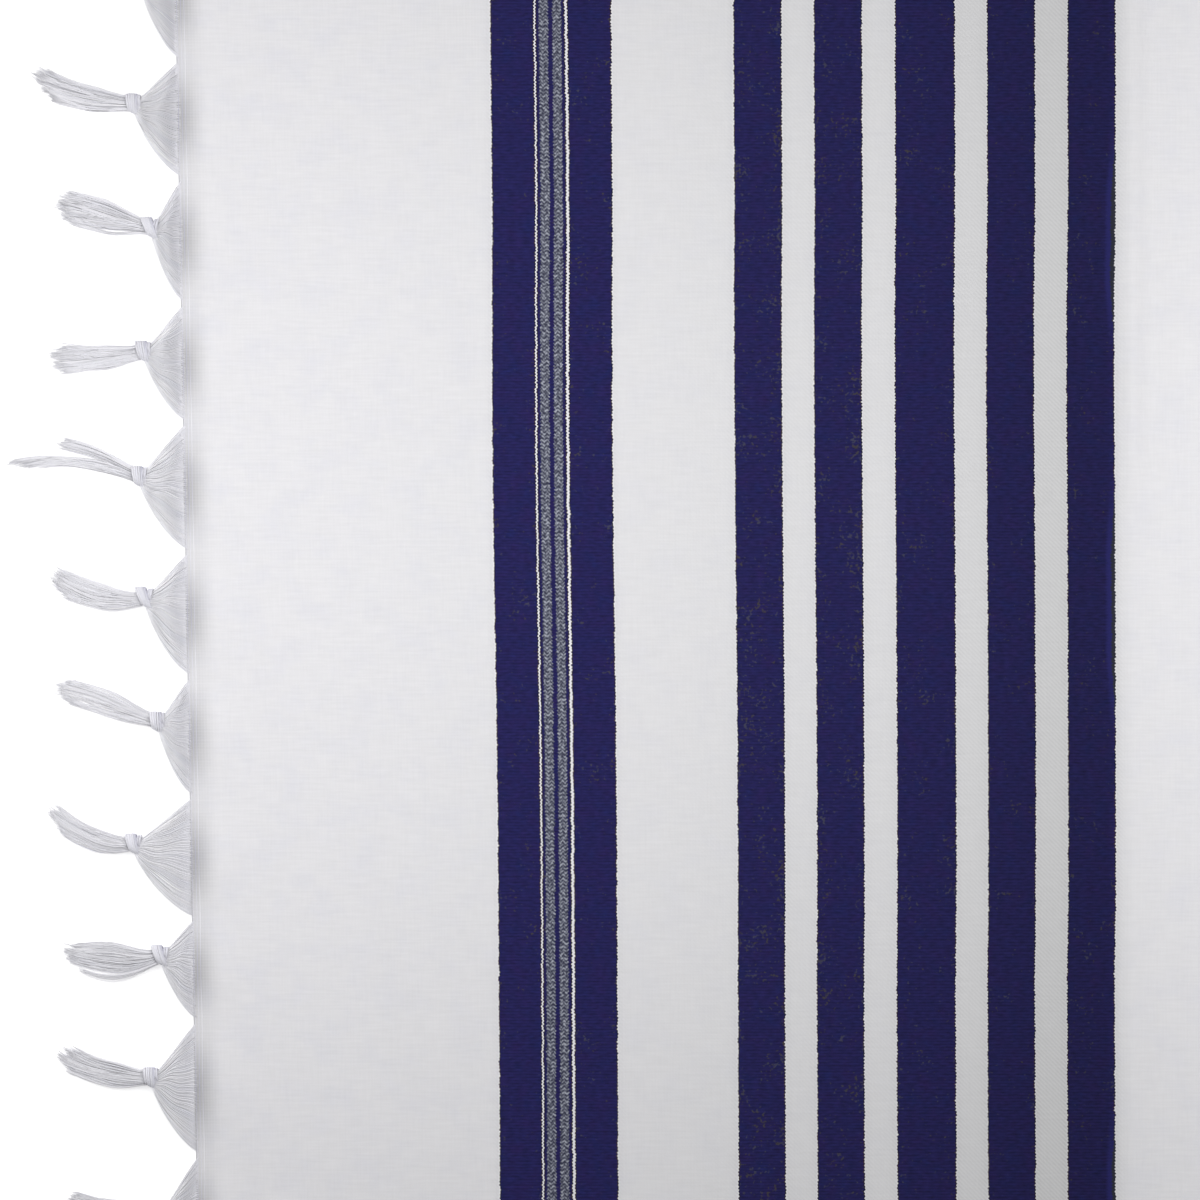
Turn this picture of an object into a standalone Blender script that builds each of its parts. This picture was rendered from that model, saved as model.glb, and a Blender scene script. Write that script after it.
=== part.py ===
"""A tallit prayer shawl, laid out flat.

One woven cloth with stripes across it near each end, a fringe of knotted tassels along each of its
two short ends, and a ritual tassel (tzitzit) tied through a hole near each of its four corners.

Units are metres, +Z is up, and the shawl lies on the plane z = 0.  Its length runs along X and its
width along Y, and the origin is on that plane under the middle of the cloth.  The two ends are
alike: the +X end is the -X end turned half round about Z.
"""

import math

import bmesh
import bpy
from mathutils import Vector

MM = 0.001

# ---------------------------------------------------------------------------------------------
# Driving dimensions
# ---------------------------------------------------------------------------------------------

CLOTH_LENGTH = 1720 * MM         # between the two fringed ends
CLOTH_WIDTH = 610 * MM           # between the two selvedges
CLOTH_WALL = 1.2 * MM
SEAM_GAP = 0.3 * MM              # between pieces that meet
FLOOR_GAP = 0.3 * MM             # under yarn that hangs just clear of the floor

EDGE_LEAN = 0.018                # the fringed end isn't quite square: its slope against Y
LEAN_REACH = 154 * MM            # how far in from the end the weft takes to straighten

RIPPLE_HEIGHT = 1.8 * MM         # where a gathered bunch lifts the cloth's end
RIPPLE_REACH = 26 * MM           # how far in from the end the ripple dies out

HALF_LENGTH = CLOTH_LENGTH / 2
HALF_WIDTH = CLOTH_WIDTH / 2

# Woven stripes near each end, in millimetres from the fringed end.
STRIPE_COLUMNS = ("start", "end", "colour")
STRIPE_ROWS = (
    (123.2, 140.0, "navy"),
    (141.2, 142.3, "navy"),
    (142.3, 146.1, "silver"),
    (146.1, 147.6, "navy"),
    (147.6, 151.1, "silver"),
    (151.1, 152.3, "navy"),
    (153.7, 170.7, "navy"),
    (220.1, 238.8, "navy"),
    (252.3, 270.7, "navy"),
    (284.5, 307.9, "navy"),
    (321.0, 340.0, "navy"),
    (353.2, 372.0, "navy"),
)

# Soft folds that run across the cloth, in millimetres: their middle's distance from the fringed
# end, half their breadth, their height, and the stretch of Y where they stand at full height.
FOLD_COLUMNS = ("middle", "half_breadth", "height", "low_y", "high_y")
FOLD_ROWS = (
    (379.0, 7.0, 1.8, 60.0, 305.0),
    (404.0, 8.0, 1.4, -305.0, 40.0),
    (548.0, 11.0, 2.6, -305.0, 90.0),
    (655.0, 9.0, 2.0, -120.0, 305.0),
    (742.0, 12.0, 3.0, -305.0, 305.0),
)
FOLD_FADE = 60 * MM              # how far a fold runs on while it dies out

# The fringe: one row for each bunch, from the -Y selvedge to the +Y one, in millimetres.
# valley    how far the valley on the bunch's -Y side lies off its even place, along Y
# knot_out  from the cloth's end out to the middle of the knot
# knot_up   from the middle between the bunch's two valleys to its knot, along Y
# length    from the middle of the knot to the tassel's tip
# lean      how far the tip lies off the knot, along Y
# bow       how far the tassel's middle lies off the line from knot to tip, along Y
# waist     the tassel's width half way along
# tip       the tassel's width at its tip
# split     how much further the two halves part at the tip, along Y
# extra     how much longer the -Y half is than the +Y half
BUNCH_COLUMNS = ("valley", "knot_out", "knot_up", "length", "lean", "bow", "waist", "tip",
                 "split", "extra")
BUNCH_ROWS = (
    (0.0, 14.0, 3.5, 38.0, 3.0, -1.5, 10.0, 12.0, 0.0, 0.0),
    (4.0, 17.0, 4.0, 36.0, 9.0, -2.5, 11.0, 12.5, 0.0, 2.0),
    (8.4, 12.2, 5.4, 38.6, 0.8, -3.0, 16.6, 9.6, 0.0, 0.0),
    (0.0, 22.2, 5.2, 32.4, 10.8, -4.0, 10.0, 12.4, 0.0, -2.0),
    (-0.4, 11.8, 5.6, 39.8, 13.2, 0.0, 11.8, 10.4, 0.0, 0.0),
    (-1.6, 16.0, 6.2, 37.6, 8.8, -4.0, 11.2, 12.4, 0.0, 2.0),
    (-0.8, 17.4, 3.8, 42.0, 11.0, 2.4, 8.8, 7.6, 6.6, 17.6),
    (1.6, 14.8, 4.2, 37.0, -2.6, -1.4, 9.8, 12.8, 0.0, 0.0),
    (0.0, 11.0, 4.6, 37.2, 9.4, 0.2, 13.4, 13.2, 0.0, 0.0),
    (0.9, 17.0, 5.5, 39.0, 10.0, -2.0, 10.4, 12.6, 0.0, -3.0),
    (-1.0, 13.2, 4.4, 36.4, 5.0, 2.2, 9.6, 12.8, 3.0, 5.0),
    (0.5, 15.6, 3.0, 38.4, 2.0, -2.0, 10.8, 12.0, 0.0, 0.0),
)
BUNCH_PITCH = 49.2 * MM
FRINGE_SPAN = BUNCH_PITCH * len(BUNCH_ROWS)
VALLEY_GAP = 0.8 * MM            # between the roots of neighbouring bunches

STRIP_WIDTH = 1.2 * MM           # the narrow strip that the bunches are rooted in
LOCKS = 4                        # locks in each tassel, side by side
LOCK_STEPS = 4                   # sections along a lock, after its root
WEB_SECTIONS = (0.3, 0.6, 0.84)  # along the gathered web, between its root and the knot
WEB_CLOSING = 1.15               # above 1, the web's sides run in hollow towards the knot
WEB_BULGE = 1.6 * MM             # how far the web's lower side hangs out of line
WEB_CREASE = 0.35 * MM           # the gathers along the web, up and down

# The knot's sections, in millimetres from its middle: half breadth, half height, height of centre.
KNOT_COLUMNS = ("along", "half_breadth", "half_height", "centre_z")
KNOT_ROWS = (
    (-4.2, 2.9, 1.7, 2.5),
    (-2.4, 4.5, 3.0, 3.5),
    (0.2, 4.8, 3.3, 3.8),
    (2.6, 4.2, 2.9, 3.3),
    (4.4, 2.9, 1.7, 2.2),
)
LOCK_FILL = 0.86                 # a lock's breadth as a share of its place in the tassel
LOCK_TAPER = 0.92                # what is left of that share at the tip
LOCK_HALF_HEIGHTS = (1.7, 1.45, 1.25, 1.0, 0.55)    # in millimetres, from root to tip

# The ritual tassel at each corner.
HOLE_INSET = 35 * MM             # from the fringed end and from the selvedge to the hole's middle
HOLE_SIZE = 5.0 * MM
LOOP_HALF_BREADTH = 1.8 * MM     # of the threads that pass through the hole and round the selvedge
LOOP_THICKNESS = 0.8 * MM
LOOP_CLEARANCE = 0.4 * MM        # between those threads and the cloth
HEAD_KNOTS = 5
HEAD_KNOT_PITCH = 24 * MM
FIRST_KNOT = 5.5 * MM            # from the selvedge side of the loop to the first knot's middle
KNOT_HALF_LENGTH = 3.2 * MM
KNOT_RADIUS = 3.0 * MM
WINDING_RADIUS = 1.9 * MM
HEAD_SIDES = 8
HEAD_STEP = 2 * math.pi / HEAD_SIDES
HEAD_STRAIGHT = 9.5 * MM         # from the selvedge out to where the head turns
HEAD_TURN_RADIUS = 9 * MM
HEAD_TURN_SECTIONS = 3
STRAND_LENGTH = 205 * MM
STRAND_LANE = 2.9 * MM           # between neighbouring strands at their tips
STRAND_RADIUS = 0.75 * MM
# Sections along a loose strand: the share of its length, of its lane, and of its first height.
STRAND_COLUMNS = ("along", "spread", "height")
STRAND_ROWS = (
    (0.07, 0.62, 0.85),
    (0.18, 0.90, 0.40),
    (0.36, 0.90, 0.0),
    (0.56, 0.80, 0.0),
    (0.78, 0.90, 0.0),
    (1.0, 1.0, 0.0),
)
STRAND_SWAY = 5 * MM             # the tassel's gentle wave
STRAND_SWAYS = 1.3
STRAND_UNEVENNESS = 0.012        # a step between the strands' lengths

CORNER_LIFT = LOOP_THICKNESS + LOOP_CLEARANCE + FLOOR_GAP   # the cloth rides over the threads
CORNER_LIFT_FADE = 9 * MM


def rows(columns, table):
    """The table's rows, each with its columns' names."""
    return [dict(zip(columns, row)) for row in table]


STRIPES = rows(STRIPE_COLUMNS, STRIPE_ROWS)
FOLDS = rows(FOLD_COLUMNS, FOLD_ROWS)
BUNCHES = rows(BUNCH_COLUMNS, BUNCH_ROWS)
KNOT_SECTIONS = rows(KNOT_COLUMNS, KNOT_ROWS)
STRAND_SECTIONS = rows(STRAND_COLUMNS, STRAND_ROWS)


# ---------------------------------------------------------------------------------------------
# Small helpers
# ---------------------------------------------------------------------------------------------

def mix(a, b, share):
    return a + (b - a) * share


def fade(distance, reach):
    """1 at no distance, falling smoothly to exactly 0 at the reach and beyond."""
    if distance <= 0:
        return 1.0
    if distance >= reach:
        return 0.0
    return 0.5 + 0.5 * math.cos(math.pi * distance / reach)


def make_material(name, colour, roughness):
    material = bpy.data.materials.new(name)
    material.use_nodes = True
    shader = material.node_tree.nodes["Principled BSDF"]
    shader.inputs["Base Color"].default_value = (*colour, 1.0)
    shader.inputs["Roughness"].default_value = roughness
    shader.inputs["Metallic"].default_value = 0.0
    return material


def make_object(name, mesh, materials, turn=0.0):
    piece = bpy.data.objects.new(name, mesh)
    bpy.context.collection.objects.link(piece)
    piece.rotation_euler = (0.0, 0.0, turn)
    if not mesh.materials:
        for material in materials:
            mesh.materials.append(material)
    return piece


def finish_mesh(name, work, smooth_angle=40):
    """Turn the working mesh into a mesh block with its faces pointing out."""
    bmesh.ops.recalc_face_normals(work, faces=work.faces)
    mesh = bpy.data.meshes.new(name)
    work.to_mesh(mesh)
    work.free()
    mesh.shade_smooth()
    mesh.set_sharp_from_angle(angle=math.radians(smooth_angle))
    return mesh


def add_ring(work, points):
    return [work.verts.new(point) for point in points]


def join_rings(work, first, second):
    """Close the wall between two rings of the same number of points."""
    count = len(first)
    for i in range(count):
        after = (i + 1) % count
        work.faces.new((first[i], first[after], second[after], second[i]))


# ---------------------------------------------------------------------------------------------
# The cloth's form
# ---------------------------------------------------------------------------------------------

def valley_y(index):
    """Y of a valley of the fringe, counted from the -Y selvedge."""
    even = -FRINGE_SPAN / 2 + BUNCH_PITCH * index
    if index < len(BUNCHES):
        even += BUNCHES[index]["valley"] * MM
    return even


def weft_x(inset, y):
    """X of the weft thread that crosses y = 0 at this inset from the -X end."""
    return -HALF_LENGTH + inset - EDGE_LEAN * math.exp(-inset / LEAN_REACH) * y


def ripple_lift(inset, y):
    """Each bunch gathers the cloth's end into one low ripple."""
    for index in range(len(BUNCHES)):
        low = valley_y(index)
        high = valley_y(index + 1)
        if low < y < high:
            across = math.sin(math.pi * (y - low) / (high - low)) ** 2
            return RIPPLE_HEIGHT * across * fade(inset, RIPPLE_REACH)
    return 0.0


def fold_lift(inset, y):
    lift = 0.0
    for fold in FOLDS:
        across = fade(abs(inset - fold["middle"] * MM), fold["half_breadth"] * MM)
        beyond = max(fold["low_y"] * MM - y, y - fold["high_y"] * MM)
        lift += fold["height"] * MM * across * fade(beyond, FOLD_FADE)
    return lift


def corner_lift(inset, y):
    """The cloth rides over the threads that pass under it from the hole to the selvedge."""
    beside = abs(inset - HOLE_INSET) - HOLE_SIZE / 2
    before = (HALF_WIDTH - HOLE_INSET) - HOLE_SIZE / 2 - abs(y)
    return CORNER_LIFT * fade(beside, CORNER_LIFT_FADE) * fade(before, CORNER_LIFT_FADE)


def end_lift(inset, y):
    """Height of the cloth's underside above the floor, at the -X end."""
    return max(ripple_lift(inset, y), fold_lift(inset, y), corner_lift(inset, y))


def cloth_point(along, y):
    """A point on the cloth's underside; along is its X at y = 0."""
    if along <= 0:
        inset = HALF_LENGTH + along
        return Vector((weft_x(inset, y), y, end_lift(inset, y)))
    inset = HALF_LENGTH - along
    return Vector((-weft_x(inset, -y), y, end_lift(inset, -y)))


def inset_stations():
    """Where sections lie between the -X end and the middle of the cloth."""
    stations = {0.0, HALF_LENGTH}
    for share in (0.16, 0.36, 0.62, 1.0):
        stations.add(RIPPLE_REACH * share)
    for side in (-1, 1):
        stations.add(HOLE_INSET + side * HOLE_SIZE / 2)
    stations.add(HOLE_INSET + HOLE_SIZE / 2 + CORNER_LIFT_FADE)
    for stripe in STRIPES:
        stations.add(stripe["start"] * MM)
        stations.add(stripe["end"] * MM)
    for fold in FOLDS:
        for share in (-1.0, -0.5, 0.0, 0.5, 1.0):
            stations.add((fold["middle"] + fold["half_breadth"] * share) * MM)
    return sorted(stations)


def width_stations():
    """Where sections lie between the two selvedges."""
    stations = {-HALF_WIDTH, HALF_WIDTH}
    for index in range(len(BUNCHES)):
        low = valley_y(index)
        high = valley_y(index + 1)
        for share in (0.0, 0.25, 0.5, 0.75):
            stations.add(mix(low, high, share))
    stations.add(valley_y(len(BUNCHES)))
    for side in (-1, 1):
        middle = side * (HALF_WIDTH - HOLE_INSET)
        stations.add(middle - HOLE_SIZE / 2)
        stations.add(middle + HOLE_SIZE / 2)
        stations.add(side * (HALF_WIDTH - HOLE_INSET - HOLE_SIZE / 2 - CORNER_LIFT_FADE))
    return sorted(stations)


def thin_out(stations, least):
    """Drop a station that lies closer to the one before it than the least step."""
    kept = [stations[0]]
    for station in stations[1:]:
        if station - kept[-1] > least:
            kept.append(station)
    return kept


def stripe_slot(inset, slots):
    for stripe in STRIPES:
        if stripe["start"] * MM < inset < stripe["end"] * MM:
            return slots.index(stripe["colour"])
    return slots.index("white")


def is_hole(inset, y):
    near_end = abs(inset - HOLE_INSET) < HOLE_SIZE / 2
    near_side = abs(abs(y) - (HALF_WIDTH - HOLE_INSET)) < HOLE_SIZE / 2
    return near_end and near_side


def build_cloth(slots):
    """The whole cloth as one thin wall, with a hole near each corner."""
    near = thin_out(inset_stations(), 0.2 * MM)
    lengths = [inset - HALF_LENGTH for inset in near]
    lengths += [HALF_LENGTH - inset for inset in reversed(near[:-1])]
    widths = thin_out(width_stations(), 1.0 * MM)

    work = bmesh.new()
    under = [[work.verts.new(cloth_point(along, y)) for y in widths] for along in lengths]
    wall = Vector((0.0, 0.0, CLOTH_WALL))
    over = [[work.verts.new(vert.co + wall) for vert in line] for line in under]

    def is_cloth(i, j):
        if not (0 <= i < len(lengths) - 1 and 0 <= j < len(widths) - 1):
            return False
        inset = HALF_LENGTH - abs(lengths[i] + lengths[i + 1]) / 2
        return not is_hole(inset, (widths[j] + widths[j + 1]) / 2)

    def close_side(first, second, slot):
        a, b = first
        c, d = second
        face = work.faces.new((under[a][b], under[c][d], over[c][d], over[a][b]))
        face.material_index = slot

    for i in range(len(lengths) - 1):
        slot = stripe_slot(HALF_LENGTH - abs(lengths[i] + lengths[i + 1]) / 2, slots)
        for j in range(len(widths) - 1):
            if not is_cloth(i, j):
                continue
            for layer in (under, over):
                face = work.faces.new((layer[i][j], layer[i + 1][j],
                                       layer[i + 1][j + 1], layer[i][j + 1]))
                face.material_index = slot
            if not is_cloth(i - 1, j):
                close_side((i, j), (i, j + 1), slot)
            if not is_cloth(i + 1, j):
                close_side((i + 1, j), (i + 1, j + 1), slot)
            if not is_cloth(i, j - 1):
                close_side((i, j), (i + 1, j), slot)
            if not is_cloth(i, j + 1):
                close_side((i, j + 1), (i + 1, j + 1), slot)

    bmesh.ops.recalc_face_normals(work, faces=work.faces)
    bmesh.ops.dissolve_limit(work, angle_limit=math.radians(0.02), verts=work.verts,
                             edges=work.edges, delimit={"MATERIAL"})
    return finish_mesh("cloth", work)


# ---------------------------------------------------------------------------------------------
# The fringe
# ---------------------------------------------------------------------------------------------

COLUMNS_ACROSS = LOCKS + 1       # points across the top of a bunch, and across its underside


def flat_section(out, y_values, centre_z, half_heights, crease=0.0):
    """A ring across a bunch: its top from -Y to +Y, then its underside back again."""
    top = []
    bottom = []
    for index, y in enumerate(y_values):
        middle = centre_z[index] + crease * (-1) ** index
        x = weft_x(-out, y)
        top.append(Vector((x, y, middle + half_heights[index])))
        bottom.append(Vector((x, y, middle - half_heights[index])))
    return top + bottom[::-1]


def round_share(index):
    """Place across, and height, of a point of a rounded section."""
    angle = math.radians(162 - 36 * index)
    return math.cos(angle), math.sin(angle)


def root_places(index):
    low = valley_y(index) + VALLEY_GAP / 2
    high = valley_y(index + 1) - VALLEY_GAP / 2
    return [mix(low, high, place / LOCKS) for place in range(COLUMNS_ACROSS)]


def web_section(bunch, root, share, root_out, neck):
    """A section of the gathered web, from the cloth's end in to the knot."""
    neck_out = bunch["knot_out"] * MM + neck["along"] * MM
    centre = (root[0] + root[-1]) / 2
    knot_y = centre + bunch["knot_up"] * MM
    closing = (1 - share) ** WEB_CLOSING
    y_values = []
    centres = []
    halves = []
    for index in range(COLUMNS_ACROSS):
        across, rise = round_share(index)
        end_y = knot_y + across * neck["half_breadth"] * MM
        y = mix(end_y, root[index], closing)
        y -= WEB_BULGE * math.sin(math.pi * share) * max(0.0, -across)
        y_values.append(y)
        root_centre = end_lift(0.0, root[index]) + CLOTH_WALL / 2
        centres.append(mix(root_centre, neck["centre_z"] * MM, share))
        halves.append(mix(CLOTH_WALL / 2, rise * neck["half_height"] * MM, share ** 1.5))
    out = mix(root_out, neck_out, share)
    return flat_section(out, y_values, centres, halves, WEB_CREASE * math.sin(math.pi * share))


def knot_section(bunch, knot_y, section):
    y_values = []
    halves = []
    for index in range(COLUMNS_ACROSS):
        across, rise = round_share(index)
        y_values.append(knot_y + across * section["half_breadth"] * MM)
        halves.append(rise * section["half_height"] * MM)
    out = (bunch["knot_out"] + section["along"]) * MM
    centres = [section["centre_z"] * MM] * COLUMNS_ACROSS
    return flat_section(out, y_values, centres, halves)


def lock_section(bunch, knot_y, lock, step):
    """Four corners of a lock's section: top and underside on its -Y side, then on its +Y side."""
    half_sign = -1 if lock < LOCKS / 2 else 1
    length = bunch["length"] - half_sign * bunch["extra"] / 2
    reach = mix(KNOT_SECTIONS[-1]["along"], length, step / LOCK_STEPS)
    out = (bunch["knot_out"] + reach) * MM
    share = reach / bunch["length"]
    middle_y = knot_y + bunch["lean"] * MM * share
    middle_y += 4 * bunch["bow"] * MM * share * (1 - share)
    middle_y += half_sign * bunch["split"] * MM / 2 * share ** 2
    neck = 2 * KNOT_SECTIONS[-1]["half_breadth"]
    if share < 0.5:
        width = mix(neck, bunch["waist"], share * 2) * MM
    else:
        width = mix(bunch["waist"], bunch["tip"], min(1.0, share * 2 - 1)) * MM
    place = (lock + 0.5) / LOCKS - 0.5
    y = middle_y + place * width
    half_breadth = width / LOCKS / 2 * mix(LOCK_FILL, LOCK_FILL * LOCK_TAPER, min(1.0, share))
    half_height = LOCK_HALF_HEIGHTS[step] * MM
    lifted = 0.35 * MM * ((lock + step) % 2)
    z = FLOOR_GAP + half_height + lifted
    x = weft_x(-out, y)
    return [Vector((x, y - half_breadth, z + half_height)),
            Vector((x, y + half_breadth, z + half_height)),
            Vector((x, y + half_breadth, z - half_height)),
            Vector((x, y - half_breadth, z - half_height))]


def build_bunch(work, index, root_ring, root_out):
    """One bunch: the gathered web, its knot and its tassel of locks."""
    bunch = BUNCHES[index]
    root = root_places(index)
    knot_y = (root[0] + root[-1]) / 2 + bunch["knot_up"] * MM
    ring = root_ring
    for share in WEB_SECTIONS:
        following = add_ring(work, web_section(bunch, root, share, root_out, KNOT_SECTIONS[0]))
        join_rings(work, ring, following)
        ring = following
    for section in KNOT_SECTIONS:
        following = add_ring(work, knot_section(bunch, knot_y, section))
        join_rings(work, ring, following)
        ring = following
    top = ring[:COLUMNS_ACROSS]
    bottom = ring[COLUMNS_ACROSS:][::-1]
    for lock in range(LOCKS):
        section = [top[lock], top[lock + 1], bottom[lock + 1], bottom[lock]]
        for step in range(1, LOCK_STEPS + 1):
            following = add_ring(work, lock_section(bunch, knot_y, lock, step))
            join_rings(work, section, following)
            section = following
        work.faces.new(section)


def build_fringe():
    """The fringe of the -X end: a narrow strip beside the cloth's end, with its bunches."""
    work = bmesh.new()
    inner_out = SEAM_GAP
    outer_out = SEAM_GAP + STRIP_WIDTH
    places = []
    for index in range(len(BUNCHES)):
        places += root_places(index)

    def strip_line(out, raised):
        line = []
        for y in places:
            z = end_lift(0.0, y) + raised
            line.append(work.verts.new((weft_x(-out, y), y, z)))
        return line

    inner_low = strip_line(inner_out, 0.0)
    inner_high = strip_line(inner_out, CLOTH_WALL)
    outer_low = strip_line(outer_out, 0.0)
    outer_high = strip_line(outer_out, CLOTH_WALL)
    last = len(places) - 1
    for i in range(last):
        work.faces.new((inner_low[i], inner_low[i + 1], inner_high[i + 1], inner_high[i]))
        work.faces.new((inner_high[i], inner_high[i + 1], outer_high[i + 1], outer_high[i]))
        work.faces.new((outer_low[i], outer_low[i + 1], inner_low[i + 1], inner_low[i]))
        between_bunches = i % COLUMNS_ACROSS == LOCKS
        if between_bunches:
            work.faces.new((outer_high[i], outer_high[i + 1], outer_low[i + 1], outer_low[i]))
    for i in (0, last):
        work.faces.new((inner_low[i], inner_high[i], outer_high[i], outer_low[i]))
    for index in range(len(BUNCHES)):
        start = index * COLUMNS_ACROSS
        stop = start + COLUMNS_ACROSS
        root_ring = outer_high[start:stop] + outer_low[start:stop][::-1]
        build_bunch(work, index, root_ring, outer_out)
    return finish_mesh("fringe", work)


# ---------------------------------------------------------------------------------------------
# The ritual tassels
# ---------------------------------------------------------------------------------------------

def head_route(distance):
    """The head's middle line, this far from the loop: how far out towards the fringed end, how
    far from the hole towards the selvedge's side, and the angle turned.  It leaves square to the
    selvedge and turns to run on beyond the fringed end."""
    start = HOLE_INSET + LOOP_CLEARANCE + LOOP_THICKNESS
    if distance <= HEAD_STRAIGHT:
        return 0.0, start + distance, 0.0
    angle = (distance - HEAD_STRAIGHT) / HEAD_TURN_RADIUS
    if angle <= math.pi / 2:
        return (HEAD_TURN_RADIUS * (1 - math.cos(angle)),
                start + HEAD_STRAIGHT + HEAD_TURN_RADIUS * math.sin(angle), angle)
    run = distance - HEAD_STRAIGHT - HEAD_TURN_RADIUS * math.pi / 2
    return HEAD_TURN_RADIUS + run, start + HEAD_STRAIGHT + HEAD_TURN_RADIUS, math.pi / 2


def head_ring(distance, radius, centre_z):
    """An eight-sided ring about the head's middle line, in local coordinates."""
    end, side, angle = head_route(distance)
    points = []
    for k in range(HEAD_SIDES):
        around = HEAD_STEP * k
        sideways = radius * math.cos(around)
        # Sideways is level and points to the inside of the turn.
        points.append(Vector((end + sideways * math.cos(angle),
                              side - sideways * math.sin(angle),
                              centre_z + radius * math.sin(around))))
    return points


def loop_corners(work):
    """The threads through the hole and round the selvedge, as a flat closed frame.  It gives the
    eight points of its outer face, from which the head grows."""
    low = FLOOR_GAP
    high = CORNER_LIFT + CLOTH_WALL + LOOP_CLEARANCE + LOOP_THICKNESS
    thread = LOOP_THICKNESS
    inner_side = 0.8 * MM
    outer_side = HOLE_INSET + LOOP_CLEARANCE + LOOP_THICKNESS
    outline = ((inner_side, low), (outer_side, low), (outer_side, high), (inner_side, high))
    hollow = ((inner_side + thread, low + thread), (outer_side - thread, low + thread),
              (outer_side - thread, high - thread), (inner_side + thread, high - thread))
    breadths = (-LOOP_HALF_BREADTH, LOOP_HALF_BREADTH)
    outer = [add_ring(work, [Vector((x, side, z)) for side, z in outline]) for x in breadths]
    inner = [add_ring(work, [Vector((x, side, z)) for side, z in hollow]) for x in breadths]
    join_rings(work, inner[0], inner[1])

    middle_z = (low + high) / 2
    mid_low = work.verts.new((0.0, outer_side, low))
    mid_high = work.verts.new((0.0, outer_side, high))
    mid_back = work.verts.new((-LOOP_HALF_BREADTH, outer_side, middle_z))
    mid_front = work.verts.new((LOOP_HALF_BREADTH, outer_side, middle_z))

    # The frame's underside, top and inner end.
    work.faces.new((outer[0][0], outer[0][1], mid_low, outer[1][1], outer[1][0]))
    work.faces.new((outer[0][3], outer[0][2], mid_high, outer[1][2], outer[1][3]))
    work.faces.new((outer[0][0], outer[0][3], outer[1][3], outer[1][0]))
    # Its two broad sides, each as four mitred bars; the outer bar takes in the middle point.
    for side_index, middle in ((0, mid_back), (1, mid_front)):
        edge = outer[side_index]
        rim = inner[side_index]
        for i in range(4):
            after = (i + 1) % 4
            bar = [edge[i], edge[after], rim[after], rim[i]]
            if i == 1:
                bar.insert(1, middle)
            work.faces.new(bar)
    # Round the outer face, from the back side up over the top: the order of a head ring.
    ring = [mid_front, outer[1][2], mid_high, outer[0][2],
            mid_back, outer[0][1], mid_low, outer[1][1]]
    return ring


def head_sections():
    """Distance and radius of each ring of the head: its knots, with windings between them."""
    sections = []
    for knot in range(HEAD_KNOTS):
        middle = FIRST_KNOT + knot * HEAD_KNOT_PITCH
        sections.append((middle - KNOT_HALF_LENGTH, WINDING_RADIUS))
        sections.append((middle, KNOT_RADIUS))
        sections.append((middle + KNOT_HALF_LENGTH, WINDING_RADIUS))
    turn_length = HEAD_TURN_RADIUS * math.pi / 2
    for step in range(1, HEAD_TURN_SECTIONS + 1):
        along = HEAD_STRAIGHT + turn_length * step / (HEAD_TURN_SECTIONS + 1)
        sections.append((along, WINDING_RADIUS))
    return sorted(sections)


def strand_section(strand, section, start_end, start_side, centre_z):
    """Three corners of a loose strand's section, in local coordinates."""
    around = HEAD_STEP * (strand + 0.5)
    # Upper and lower strands take turns across the tassel, so that all eight lie side by side.
    upper = strand < HEAD_SIDES / 2
    place = strand if upper else HEAD_SIDES - 1 - strand
    lane = (HEAD_SIDES - 1) / 2 - 2 * place - (0 if upper else 1)
    sway = STRAND_SWAY * math.sin(math.pi * STRAND_SWAYS * section["along"])
    unevenness = 1 - STRAND_UNEVENNESS * ((strand * 3) % 7)
    end = start_end + STRAND_LENGTH * section["along"] * unevenness
    side = start_side - lane * STRAND_LANE * section["spread"] + sway
    resting = FLOOR_GAP + STRAND_RADIUS
    root_height = centre_z + math.sin(around) * WINDING_RADIUS * 0.7
    z = mix(resting, max(resting, root_height), section["height"])
    radius = STRAND_RADIUS * mix(1.0, 0.7, section["along"])
    corners = []
    for corner in range(3):
        angle = around + math.pi + corner * math.radians(120)
        corners.append(Vector((end, side - radius * math.cos(angle), z + radius * math.sin(angle))))
    return corners


def build_tzitzit(side_sign):
    """A ritual tassel of the -X end, on the +Y or the -Y side."""
    work = bmesh.new()
    ring = loop_corners(work)
    centre_z = FLOOR_GAP + KNOT_RADIUS
    for distance, radius in head_sections():
        following = add_ring(work, head_ring(distance, radius, centre_z))
        join_rings(work, ring, following)
        ring = following
    last_distance = head_sections()[-1][0]
    end, side, _ = head_route(last_distance)
    hub = work.verts.new((end, side, centre_z))
    for strand in range(HEAD_SIDES):
        section_ring = [hub, ring[strand], ring[(strand + 1) % HEAD_SIDES]]
        for section in STRAND_SECTIONS:
            points = strand_section(strand, section, end, side, centre_z)
            following = add_ring(work, points)
            join_rings(work, section_ring, following)
            section_ring = following
        work.faces.new(section_ring)

    hole_y = side_sign * (HALF_WIDTH - HOLE_INSET)
    hole_x = weft_x(HOLE_INSET, hole_y)
    for vert in work.verts:
        local = vert.co.copy()
        vert.co = Vector((hole_x - local.x, hole_y + side_sign * local.y, local.z))
    return finish_mesh("tzitzit", work)


# ---------------------------------------------------------------------------------------------
# The shawl
# ---------------------------------------------------------------------------------------------

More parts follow.
